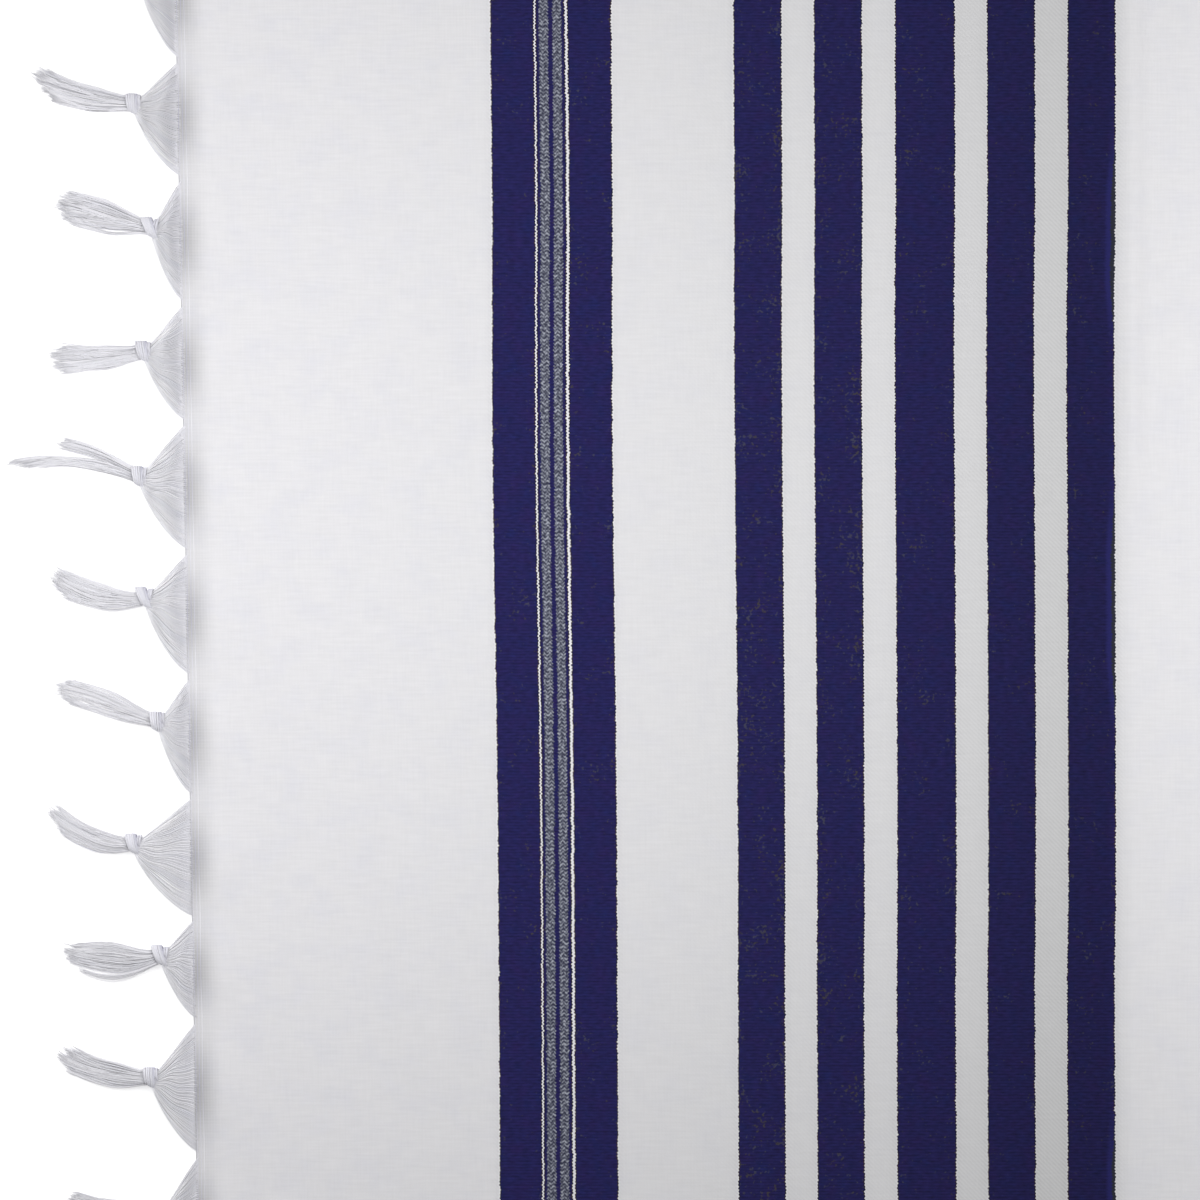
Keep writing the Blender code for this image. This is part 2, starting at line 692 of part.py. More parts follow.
def build_shawl():
    for old in list(bpy.data.objects):
        bpy.data.objects.remove(old, do_unlink=True)

    weave = {
        "white": make_material("white_weave", (0.80, 0.80, 0.82), 0.85),
        "navy": make_material("navy_weave", (0.022, 0.021, 0.085), 0.80),
        "silver": make_material("silver_weave", (0.17, 0.18, 0.22), 0.45),
    }
    yarn = make_material("fringe_yarn", (0.78, 0.78, 0.82), 0.85)
    cord = make_material("tzitzit_yarn", (0.80, 0.79, 0.76), 0.80)

    slots = list(weave)
    make_object("shawl_cloth", build_cloth(slots), [weave[slot] for slot in slots])

    half_turn = math.pi
    fringe = build_fringe()
    make_object("fringe_left", fringe, [yarn])
    make_object("fringe_right", fringe, [yarn], half_turn)

    for side_sign, near_name, far_name in ((1, "upper", "lower"), (-1, "lower", "upper")):
        tassel = build_tzitzit(side_sign)
        make_object("tzitzit_left_" + near_name, tassel, [cord])
        make_object("tzitzit_right_" + far_name, tassel, [cord], half_turn)


build_shawl()
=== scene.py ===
"""The looks of the tallit prayer shawl: its cloth, its fringe, its ritual tassels and a studio.

Everything is in metres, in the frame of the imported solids: the shawl lies on z = 0 with its length
along X and its width along Y. The +X end is the -X end turned half round about Z.
"""

import math
from types import SimpleNamespace

import bpy
import numpy as np
from mathutils import Matrix, Vector


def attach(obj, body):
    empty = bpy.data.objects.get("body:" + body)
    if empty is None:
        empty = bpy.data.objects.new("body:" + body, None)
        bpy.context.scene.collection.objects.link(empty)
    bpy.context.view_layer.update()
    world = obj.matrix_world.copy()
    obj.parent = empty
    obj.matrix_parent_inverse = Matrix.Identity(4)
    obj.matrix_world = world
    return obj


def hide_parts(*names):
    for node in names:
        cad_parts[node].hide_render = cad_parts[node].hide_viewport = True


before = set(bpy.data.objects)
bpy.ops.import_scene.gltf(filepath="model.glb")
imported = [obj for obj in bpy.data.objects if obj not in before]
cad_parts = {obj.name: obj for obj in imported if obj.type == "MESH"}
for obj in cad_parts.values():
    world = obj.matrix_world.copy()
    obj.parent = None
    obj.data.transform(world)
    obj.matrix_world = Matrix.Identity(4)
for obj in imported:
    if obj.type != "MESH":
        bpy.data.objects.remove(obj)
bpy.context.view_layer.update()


# --- Helpers ---

MM = 0.001
TURN = 2 * math.pi
GOLDEN = 0.618034  # its multiples spread evenly between 0 and 1


def rows(columns, table, plain=()):
    """The rows of a table in millimetres, in metres; plain columns aren't lengths."""
    return [SimpleNamespace(**{name: value if name in plain else value * MM
                               for name, value in zip(columns.split(), row)}) for row in table]


def mix(a, b, share):
    return a + (b - a) * share


def part(value, start, end):
    """How far a value is on its way from the start to the end, from 0 to 1."""
    return np.clip((value - start) / (end - start), 0, 1)


def ease(value, start=0, end=1):
    share = part(value, start, end)
    return share * share * (3 - 2 * share)


def fade(distance, reach):
    """1 up to no distance, falling smoothly to 0 at the reach and beyond."""
    return 0.5 + 0.5 * np.cos(math.pi * part(np.asarray(distance, float), 0, reach))


def bump(value, middle, half_breadth):
    return fade(np.abs(value - middle), half_breadth)


def circle(count):
    """Angles evenly round a full turn."""
    return TURN * np.arange(count) / count


def vectors(*parts):
    """Arrays of coordinates as one array of points."""
    return np.stack(np.broadcast_arrays(*parts), axis=-1)


def unit(directions):
    lengths = np.linalg.norm(directions, axis=-1, keepdims=True)
    return directions / np.maximum(lengths, 1e-12)


def link_object(name, data):
    item = bpy.data.objects.new(name, data)
    bpy.context.scene.collection.objects.link(item)
    return item


def new_piece(name, material, points, faces, uv, tone):
    """A smooth mesh piece from arrays, with a uv pair and a tone for each point."""
    mesh = bpy.data.meshes.new(name)
    mesh.from_pydata(points.tolist(), [], faces)
    corner_points = np.empty(len(mesh.loops), int)
    mesh.loops.foreach_get("vertex_index", corner_points)
    layer = mesh.uv_layers.new(name="yarn")
    layer.data.foreach_set("uv", uv[corner_points].astype(np.float32).ravel())
    shade = mesh.attributes.new("edge_shade", "FLOAT", "POINT")
    shade.data.foreach_set("value", tone)
    mesh.shade_smooth()
    mesh.materials.append(material)
    return link_object(name, mesh)


def turned_copy(piece, name):
    """The same piece at the other end of the shawl."""
    mesh = piece.data.copy()
    mesh.name = name
    mesh.transform(Matrix.Rotation(math.pi, 4, "Z"))
    return link_object(name, mesh)


def tubes(centres, radius, sides=4, up=(0, 0, 1), flat=1, tips=(), closed=False, group=1,
          tone=1.0):
    """Points, faces, uv and tones of many tubes at once.

    centres is strands x points x 3. up is the direction of each section's height, and flat
    squeezes that height. tips are the last radii as shares of the radius. A closed tube's last
    point joins its first. The strands of a group have the same yarn.
    """
    strands, count, _ = centres.shape
    radii = np.full((strands, count, 1, 1), radius)
    radii[:, count - len(tips):, 0, 0] *= tips
    if closed:
        tangent = unit(np.roll(centres, -1, axis=1) - np.roll(centres, 1, axis=1))
    else:
        tangent = unit(np.gradient(centres, axis=1))
    side = unit(np.cross(tangent, up))
    top = np.cross(side, tangent)
    angles = circle(sides)[:, None]
    ring = side[:, :, None] * np.cos(angles) + top[:, :, None] * np.sin(angles) * flat
    points = centres[:, :, None] + ring * radii

    strand = np.arange(strands)[:, None, None] * count * sides
    section = np.arange(count if closed else count - 1)[:, None]
    after = (section + 1) % count
    place = np.arange(sides)
    beside = (place + 1) % sides
    faces = vectors(strand + section * sides + place, strand + section * sides + beside,
                    strand + after * sides + beside, strand + after * sides + place)
    faces = faces.reshape(-1, 4).tolist()
    if not closed:
        for base in strand.ravel().tolist():
            last = base + (count - 1) * sides
            faces.append(list(range(base, base + sides))[::-1])
            faces.append(list(range(last, last + sides)))
    steps = np.linalg.norm(np.diff(centres, axis=1), axis=-1)
    along = np.pad(np.cumsum(steps, axis=1), ((0, 0), (1, 0)))
    yarn = (np.arange(strands) // group * GOLDEN) % 1
    uv = vectors(along[:, :, None] * np.ones(sides), yarn[:, None, None])
    tones = np.broadcast_to(tone, (strands, count)).repeat(sides)
    return points.reshape(-1, 3), faces, uv.reshape(-1, 2), tones


def join(parts):
    """Several sets of points, faces, uv and tones as one."""
    points, faces, uv, tones = zip(*parts)
    starts = np.cumsum([0] + [len(each) for each in points]).tolist()
    joined = [[index + start for index in face] for start, each in zip(starts, faces)
              for face in each]
    return np.concatenate(points), joined, np.concatenate(uv), np.concatenate(tones)


# --- The shawl's own sizes, as its solids have them ---

CLOTH_LENGTH = 1720 * MM
CLOTH_WIDTH = 610 * MM
CLOTH_WALL = 1.2 * MM
HALF_LENGTH = CLOTH_LENGTH / 2
HALF_WIDTH = CLOTH_WIDTH / 2
EDGE_LEAN = 0.018
LEAN_REACH = 154 * MM
RIPPLE_HEIGHT = 1.8 * MM
RIPPLE_REACH = 26 * MM
BUNCH_PITCH = 49.2 * MM
HOLE_INSET = 35 * MM
HOLE_SIZE = 5 * MM
HOLE_Y = HALF_WIDTH - HOLE_INSET
HOLE_SIDES = (-HOLE_SIZE / 2, HOLE_SIZE / 2)
CORNER_LIFT = 1.5 * MM
CORNER_FADE = 9 * MM
FLOOR_GAP = 0.3 * MM
FOLD_FADE = 60 * MM

# Soft folds across the cloth, from the fringed end.
FOLDS = rows("middle half_breadth height low_y high_y", (
    (379, 7, 1.8, 60, 305),
    (404, 8, 1.4, -305, 40),
    (548, 11, 2.6, -305, 90),
    (655, 9, 2, -120, 305),
    (742, 12, 3, -305, 305),
))

# The fringe, one row for each bunch from the -Y selvedge to the +Y one.
BUNCHES = rows("valley knot_out knot_up length lean bow waist tip split extra", (
    (0, 14, 3.5, 38, 3, -1.5, 10, 12, 0, 0),
    (4, 17, 4, 36, 9, -2.5, 11, 12.5, 0, 2),
    (8.4, 12.2, 5.4, 38.6, 0.8, -3, 16.6, 9.6, 0, 0),
    (0, 22.2, 5.2, 32.4, 10.8, -4, 10, 12.4, 0, -2),
    (-0.4, 11.8, 5.6, 39.8, 13.2, 0, 11.8, 10.4, 0, 0),
    (-1.6, 16, 6.2, 37.6, 8.8, -4, 11.2, 12.4, 0, 2),
    (-0.8, 17.4, 3.8, 42, 11, 2.4, 8.8, 7.6, 6.6, 17.6),
    (1.6, 14.8, 4.2, 37, -2.6, -1.4, 9.8, 12.8, 0, 0),
    (0, 11, 4.6, 37.2, 9.4, 0.2, 13.4, 13.2, 0, 0),
    (0.9, 17, 5.5, 39, 10, -2, 10.4, 12.6, 0, -3),
    (-1, 13.2, 4.4, 36.4, 5, 2.2, 9.6, 12.8, 3, 5),
    (0.5, 15.6, 3, 38.4, 2, -2, 10.8, 12, 0, 0),
))
VALLEYS = [BUNCH_PITCH * (i - len(BUNCHES) / 2) + bunch.valley for i, bunch in enumerate(BUNCHES)]
VALLEYS.append(BUNCH_PITCH * len(BUNCHES) / 2)
for number, bunch in enumerate(BUNCHES):
    bunch.number = number
    bunch.low, bunch.high = VALLEYS[number:number + 2]
    bunch.knot_y = (bunch.low + bunch.high) / 2 + bunch.knot_up

# The woven stripes, from the fringed end. The first seven lie side by side in one band.
STRIPES = rows("start end", (
    (123.15, 140.4), (141, 142.3), (142.3, 146.1), (146.1, 147.7), (147.7, 151.4),
    (151.4, 152.8), (153.8, 171.25), (220.2, 239.3), (252.2, 271.3), (284.5, 308.3),
    (321.15, 340.3), (353.3, 372.4),
))
SILVER_STRIPES = (STRIPES[2], STRIPES[4])
NEXT_START = STRIPES[7].start
LAST_START = STRIPES[-1].start
LAST_EDGE = STRIPES[-1].end
RIMLESS = (142 * MM, 151.4 * MM)  # the stretch without dark rims, round the silver

# --- The cloth's form ---

# The stripes wander a little as they cross the cloth: how far they lie towards its middle at each
# y, for the first stripe, the next single one and the last one. In millimetres.
WANDERS = (
    (-305, 0.6, 0.2, -0.4), (-176, 1.05, 0.2, -0.8), (-140, 1.05, 0.4, -0.25),
    (-100, 1.05, 0.42, -0.15), (-60, 0.85, 0.4, -0.2), (-20, 0.5, 0.15, -0.25),
    (20, 0.2, -0.1, -0.35), (60, 0.2, -0.18, -0.6), (100, 0.5, -0.18, -0.5),
    (136, 0.85, 0.15, 0.1), (305, 0.4, 0, 0.2),
)
PATTERN_FADE = 200 * MM

# Small creases in the cloth beside its fringed end and between the folds: where the crease's
# middle is, how far it runs each way, how high it is, and how it slants.
CREASES = rows("inset y half_breadth half_length height slant", (
    (24, 152, 7, 46, 0.5, 0.1),
    (33, -38, 9, 60, 0.4, -0.06),
    (62, 88, 14, 80, 0.5, 0.05),
    (86, -150, 13, 90, 0.6, -0.08),
    (197, 40, 10, 120, 0.35, 0.02),
    (246, -110, 7, 80, 0.4, 0),
    (392, 180, 6, 70, -0.3, 0.03),
    (448, -60, 16, 110, 0.9, 0.12),
    (498, 120, 12, 90, 0.8, -0.15),
    (604, -200, 15, 80, 1.1, 0.2),
    (700, 40, 14, 140, 0.9, -0.05),
    (806, -90, 18, 120, 1, 0.08),
), plain=("slant",))

EDGE_SHADE_REACH = 13 * MM  # the reach of the painted shade beside the fringed end, deepest beside each bunch
EDGE_PAINTED_SHADE = 0.1
PAINTED_SHADE_AT_BUNCH = 0.32


def weft_x(inset, y):
    """X of the weft thread that lies this far in from the -X end."""
    return -HALF_LENGTH + inset - EDGE_LEAN * np.exp(-np.maximum(inset, 0) / LEAN_REACH) * y


def pattern_shift(inset, y):
    """How far the woven pattern lies towards the cloth's middle, near the -X end."""
    places, *columns = np.array(WANDERS).T * MM
    first, second, last = (np.interp(y, places, column) for column in columns)
    shift = mix(first, second, part(inset, STRIPES[0].end, NEXT_START))
    shift = mix(shift, last, part(inset, NEXT_START, LAST_START))
    return shift * fade(inset - LAST_EDGE, PATTERN_FADE)


def bunch_share(y):
    """0 at the valleys between the bunches and 1 at their middles."""
    return sum(np.sin(math.pi * part(y, bunch.low, bunch.high)) ** 2 for bunch in BUNCHES)


def fold_lift(inset, y):
    lift = 0
    for fold in FOLDS:
        beyond = np.maximum(fold.low_y - y, y - fold.high_y)
        across = bump(inset, fold.middle, fold.half_breadth)
        lift = lift + fold.height * across * fade(beyond, FOLD_FADE)
    return lift


def crease_lift(inset, y):
    lift = 0
    for crease in CREASES:
        run = y - crease.y
        across = bump(inset, crease.inset + crease.slant * run, crease.half_breadth)
        lift = lift + crease.height * across * bump(run, 0, crease.half_length)
    return lift


def corner_lift(inset, y):
    beside = np.abs(inset - HOLE_INSET) - HOLE_SIZE / 2
    before = HOLE_Y - HOLE_SIZE / 2 - np.abs(y)
    return CORNER_LIFT * fade(beside, CORNER_FADE) * fade(before, CORNER_FADE)


def end_lift(inset, y):
    """Height of the cloth's underside over the floor, near the -X end."""
    ripple = RIPPLE_HEIGHT * bunch_share(y) * fade(inset, RIPPLE_REACH)
    lift = np.maximum(np.maximum(ripple, fold_lift(inset, y)), corner_lift(inset, y))
    return np.maximum(lift + crease_lift(inset, y), 0)


def painted_edge_shade(inset, y):
    """The cloth's tone with painted shade beside its fringed end, deepest beside each bunch."""
    return 1 - (EDGE_PAINTED_SHADE + PAINTED_SHADE_AT_BUNCH * bunch_share(y)) * fade(inset, EDGE_SHADE_REACH)


# --- Materials ---


def operator(kind):
    """A method that puts a value and another one through a math node of this kind."""
    return lambda value, other=0: value.nodes.math(kind, value, other)


class Value:
    """What a node gives, which can be reckoned with like a number."""

    __add__ = operator("ADD")
    __sub__ = operator("SUBTRACT")
    __mul__ = operator("MULTIPLY")
    __truediv__ = operator("DIVIDE")
    __abs__ = operator("ABSOLUTE")

    def __init__(self, nodes, socket):
        self.nodes = nodes
        self.socket = socket

    def __rsub__(self, other):
        return self.nodes.math("SUBTRACT", other, self)

    def clamped(self):
        """The same value, which its node now keeps between 0 and 1."""
        self.socket.node.use_clamp = True
        return self


class Nodes:
    """A short way to write a material's nodes."""

    def __init__(self, name):
        self.material = bpy.data.materials.new(name)
        self.material.use_nodes = True
        self.tree = self.material.node_tree
        self.shader = self.tree.nodes["Principled BSDF"]

    def put(self, node, inputs):
        """Sets or links these inputs of a node."""
        for key, value in inputs.items():
            if isinstance(value, Value):
                self.tree.links.new(value.socket, node.inputs[key])
            else:
                node.inputs[key].default_value = value

    def add(self, kind, inputs, output=0, **settings):
        """What a new node with these settings and inputs gives at one of its outputs."""
        node = self.tree.nodes.new("ShaderNode" + kind)
        for key, value in settings.items():
            setattr(node, key, value)
        self.put(node, inputs)
        return Value(self, node.outputs[output])

    def math(self, operation, first, second=0):
        return self.add("Math", {0: first, 1: second}, operation=operation)

    def mix_colour(self, factor, first, second, blend="MIX"):
        # A mix node has sockets for each type of data, and 6, 7 and output 2 are for colours.
        return self.add("Mix", {0: factor, 6: first, 7: second}, 2, data_type="RGBA",
                        blend_type=blend)

    def shade(self, colour, factor):
        return self.mix_colour(1, colour, factor, "MULTIPLY")

    def ramp(self, factor, *stops):
        """stops are pairs of a place from 0 to 1 and a grey value or a colour."""
        colour = self.add("ValToRGB", {"Fac": factor}, "Color")
        elements = colour.socket.node.color_ramp.elements
        while len(elements) < len(stops):
            elements.new(1)
        for element, (place, value) in zip(elements, stops):
            element.position = place
            element.color = value if isinstance(value, tuple) else (value, value, value, 1)
        return colour

    def noise(self, vector, scale, detail=2, roughness=0.5):
        return self.add("TexNoise", {"Vector": vector, "Scale": scale, "Detail": detail,
                                     "Roughness": roughness}, "Fac")

    def wave(self, coordinate, period):
        """A sine of a coordinate in metres, from -1 to 1."""
        return self.math("SINE", coordinate * (TURN / period))

    def combine(self, x, y, z=0):
        return self.add("CombineXYZ", {0: x, 1: y, 2: z})

    def tone(self):
        """The tone that the piece's points carry."""
        return self.add("Attribute", {}, "Fac", attribute_name="edge_shade")

    def uv_axes(self):
        """The two coordinates of the piece's uv."""
        uv = self.add("UVMap", {}, "UV", uv_map="yarn")
        first = self.add("SeparateXYZ", {0: uv}, "X")
        return first, Value(self, first.socket.node.outputs["Y"])

    def span_distance(self, place, stretches):
        """How far a place is outside the nearest of these stretches, and below 0 inside one."""
        nearest = None
        for start, end in stretches:
            outside = abs(place - (start + end) / 2) - (end - start) / 2
            nearest = outside if nearest is None else self.math("MINIMUM", nearest, outside)
        return nearest

    def finish(self, colour, roughness, sheen, specular):
        self.put(self.shader, {"Base Color": colour, "Roughness": roughness,
                               "Sheen Weight": sheen, "Sheen Roughness": 0.5,
                               "Specular IOR Level": specular})
        return self.material

    def relief(self, height, strength):
        bumps = {"Height": height, "Distance": RELIEF_DISTANCE, "Strength": strength}
        self.put(self.shader, {"Normal": self.add("Bump", bumps, "Normal")})


def falls_below(value, limit, softness):
    """1 where the value is well below the limit, 0 where it is well above it."""
    return ((limit - value) * (1 / softness) + 0.5).clamped()


def linear(red, green, blue):
    """A colour seen on screen, from 0 to 255, as the light it stands for."""
    def one(value):
        value /= 255
        return value / 12.92 if value <= 0.04045 else ((value + 0.055) / 1.055) ** 2.4
    return (one(red), one(green), one(blue), 1)


THREAD_PAIR = 1.2 * MM  # the weave repeats every two threads
TWILL_PERIOD = 1.75 * MM
FLOAT_PERIOD = 1.5 * MM  # the silver floats lie in a zigzag
FLOAT_COLUMN = 1.1 * MM
TOOTH_PERIOD = 1.3 * MM  # the stripes' edges step in and out
TOOTH_DEPTH = 0.2 * MM
TOOTH_DRAW = 1 * MM  # some teeth are longer than others,
EDGE_WANDER = 0.8 * MM  # and the edge wanders
EDGE_SOFTNESS = 0.1 * MM
SILVER_RAGGED = 0.5 * MM
SILVER_SOFTNESS = 0.25 * MM
RIM_BREADTH = 0.4 * MM  # the black last thread of a stripe
RIM_SOFTNESS = 0.2 * MM
HALO_BREADTH = 0.4 * MM  # the full white thread beside it
HALO_SOFTNESS = 0.25 * MM
BLUER_BREADTH = 1.2 * MM  # the bluer navy before the charcoal band
CHARCOAL_SOFTNESS = 0.4 * MM
CHARCOAL_FADE = 1.6  # a band thins out over 1 / 1.6 of its half length
STRIPE_SHADE_REACH = 5 * MM  # the reach of the painted shade, and of a deeper twill, beside a stripe
LINT_AT_RIM = 3 * MM
LINT_SOFTNESS = 5 * MM
WORN_MIDDLE = 242 * MM  # lint lies thickest on the stripes round here
WORN_REACH = 70 * MM
TONE_REACH = 440 * MM  # the stretch from the fringed end that the tone ramp covers
RELIEF_DISTANCE = 0.05 * MM
WHITE_YARN = linear(230, 229, 232)
NEUTRAL_YARN = linear(229, 229, 230)
BRIGHT_YARN = linear(244, 243, 246)
COOL_YARN = linear(222, 222, 230)
NAVY_YARN = linear(34, 32, 84)
NAVY_PURPLE = linear(46, 28, 84)
NAVY_BLUE = linear(26, 34, 88)
BRIGHT_NAVY = linear(44, 44, 112)
RIM_YARN = linear(16, 14, 22)
RIM_BROWN = linear(78, 54, 36)
# The colour of the painted shadow of a fold at the last stripe's edge.
CHARCOAL_SHADOW = linear(46, 49, 52)
SPECK_COLOUR = linear(70, 70, 86)
OLIVE_SPECK = linear(70, 66, 56)
# The silver's colours, from its dark floats to its painted glints.
SILVER_RAMP = ((0.3, linear(50, 52, 72)), (0.52, linear(98, 101, 116)),
               (0.76, linear(168, 172, 184)))

# How the cloth's tone falls off across the striped part, partly its own tone and partly painted
# shade up to a fold by the last stripe: millimetres from the fringed end, tone.
TONE_AND_SHADE_STOPS = (
    (0, 1), (66, 0.972), (118, 0.94), (198, 0.89), (246, 0.84), (278, 0.83), (314, 0.77),
    (346, 0.7), (369, 0.69), (374, 0.86), (380, 0.93), (403, 0.955), (440, 0.95),
)

# Where a painted shadow of a fold thickens the last stripe's edge to a charcoal band.
CHARCOALS = rows("y half_length breadth", ((124, 44, 2), (-22, 54, 1.8), (-262, 40, 1.6)))


def spans(stripes):
    """The stretches of these stripes, with those that touch joined into one."""
    joined = []
    for stripe in stripes:
        if joined and stripe.start - joined[-1][1] < 0.01 * MM:
            joined[-1] = (joined[-1][0], stripe.end)
        else:
            joined.append((stripe.start, stripe.end))
    return joined


def cloth_values(nodes):
    """What the cloth's colours depend on: places in the weave and in its stripes, and tones, which
    are partly painted shade.
    """
    at = SimpleNamespace()
    at.along, at.across = nodes.uv_axes()
    at.weave = nodes.combine(at.along, at.across)
    at.inset = HALF_LENGTH - abs(at.along)
    at.warp_wave = nodes.wave(at.across, THREAD_PAIR)
    at.check = (at.warp_wave + nodes.wave(at.along, THREAD_PAIR)) * 0.5
    at.slub = nodes.noise(nodes.combine(at.along * 0.1, at.across), 900, 3)
    at.drift = nodes.noise(at.weave, 120, 4, 0.65)

    # Each warp thread crosses a stripe's edge a little further in or out than its neighbour.
    tooth_draw = nodes.noise(nodes.combine(at.along * 0.2, at.across), 620, 1)
    at.tooth_wave = nodes.wave(at.across, TOOTH_PERIOD)
    at.wander = (nodes.noise(at.weave, 240, 3) - 0.5) * EDGE_WANDER
    tooth = at.tooth_wave * TOOTH_DEPTH + (tooth_draw - 0.5) * TOOTH_DRAW
    at.edge_place = at.inset + tooth + at.wander
    at.outside = nodes.span_distance(at.edge_place, spans(STRIPES))

    # The tone ramp, and how much it dulls the cloth, is partly the cloth's own tone and partly
    # painted shade up to a fold by the last stripe.
    stops = [(place * MM / TONE_REACH, tone) for place, tone in TONE_AND_SHADE_STOPS]
    at.tone = nodes.ramp((at.inset / TONE_REACH).clamped(), *stops)
    at.dull = 1 - at.tone
    at.edge_shade = nodes.tone()
    return at


def navy_colour(nodes, at):
    """Navy: ribs of warp, a drift of hue, and small pale specks of lint that lie in clusters."""
    purple = nodes.ramp(at.drift, (0.5, 0), (0.72, 0.4))
    blue = nodes.ramp(at.drift, (0.3, 0.6), (0.46, 0))
    navy = nodes.mix_colour(purple, NAVY_YARN, NAVY_PURPLE)
    navy = nodes.mix_colour(blue, navy, NAVY_BLUE)
    streak = nodes.noise(nodes.combine(at.along * 0.35, at.across), 950, 2)
    # The navy darkens where the tone ramp falls, partly painted shade.
    navy = nodes.shade(navy, at.warp_wave * 0.12 + at.dull * -0.28 + streak * 1.1 + 0.47)

    cluster = nodes.noise(nodes.combine(at.across, at.along, 7), 75, 3, 0.7)
    near_rim = falls_below(abs(at.outside), LINT_AT_RIM, LINT_SOFTNESS)
    worn = (1 - abs(at.inset - WORN_MIDDLE) / WORN_REACH).clamped()
    lint = nodes.noise(at.weave, 700, 2, 0.6) + cluster * 0.8 + near_rim * 0.04 + worn * 0.07
    olive = nodes.ramp(at.drift, (0.45, 0), (0.55, 1))
    speck_colour = nodes.mix_colour(olive, SPECK_COLOUR, OLIVE_SPECK)
    specks = nodes.ramp(lint - 0.4, (0.695, 0), (0.765, 0.7))
    return nodes.mix_colour(specks, navy, speck_colour)


def with_rims(nodes, at, navy):
    """Navy with its stripes' rims: almost black, browner in places."""
    beads = nodes.ramp(at.drift, (0.42, 0), (0.56, 1)) * (at.tooth_wave * 0.5 + 0.5)
    rim_colour = nodes.mix_colour(beads, RIM_YARN, RIM_BROWN)
    rim = 1 - falls_below(at.outside, -RIM_BREADTH, RIM_SOFTNESS)
    rim = rim * nodes.math("GREATER_THAN", nodes.span_distance(at.inset, [RIMLESS]), 0)
    return nodes.mix_colour(rim, navy, rim_colour)


def with_charcoal_shadow(nodes, at, navy):
    """Navy with the last stripe's edge, which a painted shadow of a fold thickens to charcoal in
    places.
    """
    towards = (at.across + at.wander) * nodes.math("SIGN", at.along) * -1
    breadth = 0
    for band in CHARCOALS:
        share = (1 - abs(towards - band.y) / band.half_length) * CHARCOAL_FADE
        breadth = share.clamped() * band.breadth + breadth
    depth = at.edge_place - LAST_EDGE + breadth
    bluer = (depth / BLUER_BREADTH + 2).clamped()
    bluer = bluer * (breadth / CHARCOALS[-1].breadth).clamped()
    navy = nodes.mix_colour(bluer * 0.7, navy, BRIGHT_NAVY)
    return nodes.mix_colour((depth / CHARCOAL_SOFTNESS).clamped() * 0.9, navy, CHARCOAL_SHADOW)


def white_colour(nodes, at):
    """White: a plain weave with slubs, cooler in places, with a faint twill where it is dull, and
    painted shade beside the stripes.
    """
    slub_weft = nodes.noise(nodes.combine(at.along, at.across * 0.12, 3), 900, 2)
    beside = (1 - at.outside / STRIPE_SHADE_REACH).clamped()
    beside = beside * beside
    twill = nodes.wave(at.along + at.across, TWILL_PERIOD)
    twill_depth = (at.dull * 0.22 - 0.02).clamped() + beside * 0.03
    grain = (1 - at.edge_shade) * 0.17 + 0.008
    # The white is darker beside the stripes: painted shade.
    weave_shade = (at.check * grain + at.slub * 0.11 + slub_weft * 0.06 + twill * twill_depth
                   + beside * -0.05 + 0.915)
    cool = nodes.ramp(nodes.noise(at.weave, 70, 4, 0.6), (0.45, 0), (0.7, 0.5))
    white = nodes.mix_colour(cool, WHITE_YARN, COOL_YARN)
    # The white turns neutral where the tone ramp falls, partly painted shade.
    white = nodes.mix_colour((at.dull * 3.4).clamped(), white, NEUTRAL_YARN)
    white = nodes.shade(white, weave_shade)
    halo = falls_below(at.outside, HALO_BREADTH, HALO_SOFTNESS)
    return nodes.mix_colour(halo * 0.8, white, BRIGHT_YARN)


def make_cloth_material():
    nodes = Nodes("tallit_cloth")
    at = cloth_values(nodes)
    navy = with_charcoal_shadow(nodes, at, with_rims(nodes, at, navy_colour(nodes, at)))

    # Silver: bright and dark floats that slant both ways by turns, with painted glints on them.
    ragged = nodes.noise(at.weave, 1900, 1) * SILVER_RAGGED
    ragged = ragged + nodes.span_distance(at.edge_place, spans(SILVER_STRIPES))
    silver = falls_below(ragged, 0.15 * MM, SILVER_SOFTNESS)
    zigzag = at.across + nodes.math("PINGPONG", at.along, FLOAT_COLUMN)
    floats_and_glints = nodes.wave(zigzag, FLOAT_PERIOD) * 0.12 + nodes.noise(at.weave, 820, 1)

    dyed = nodes.mix_colour(silver, navy, nodes.ramp(floats_and_glints, *SILVER_RAMP))
    stripe = falls_below(at.outside, 0, EDGE_SOFTNESS)
    colour = nodes.mix_colour(stripe, white_colour(nodes, at), dyed)
    # The tone ramp, partly painted shade, and the painted shade beside the fringed ends darken the
    # colour.
    colour = nodes.shade(nodes.shade(colour, at.tone), at.edge_shade)

    # The threads stand up: warp ribs in the stripes, a plain weave in the white.
    ribs = at.warp_wave * 0.8 * stripe
    nodes.relief(at.check * 0.5 + ribs + floats_and_glints * silver + at.slub * 0.8, 0.5)
    return nodes.finish(colour, 0.9 - silver * 0.35, 0.04, 0.15)


SHADE_TINT = (0, 0, 0.16, 1)  # painted shade on the white yarn is a little blue


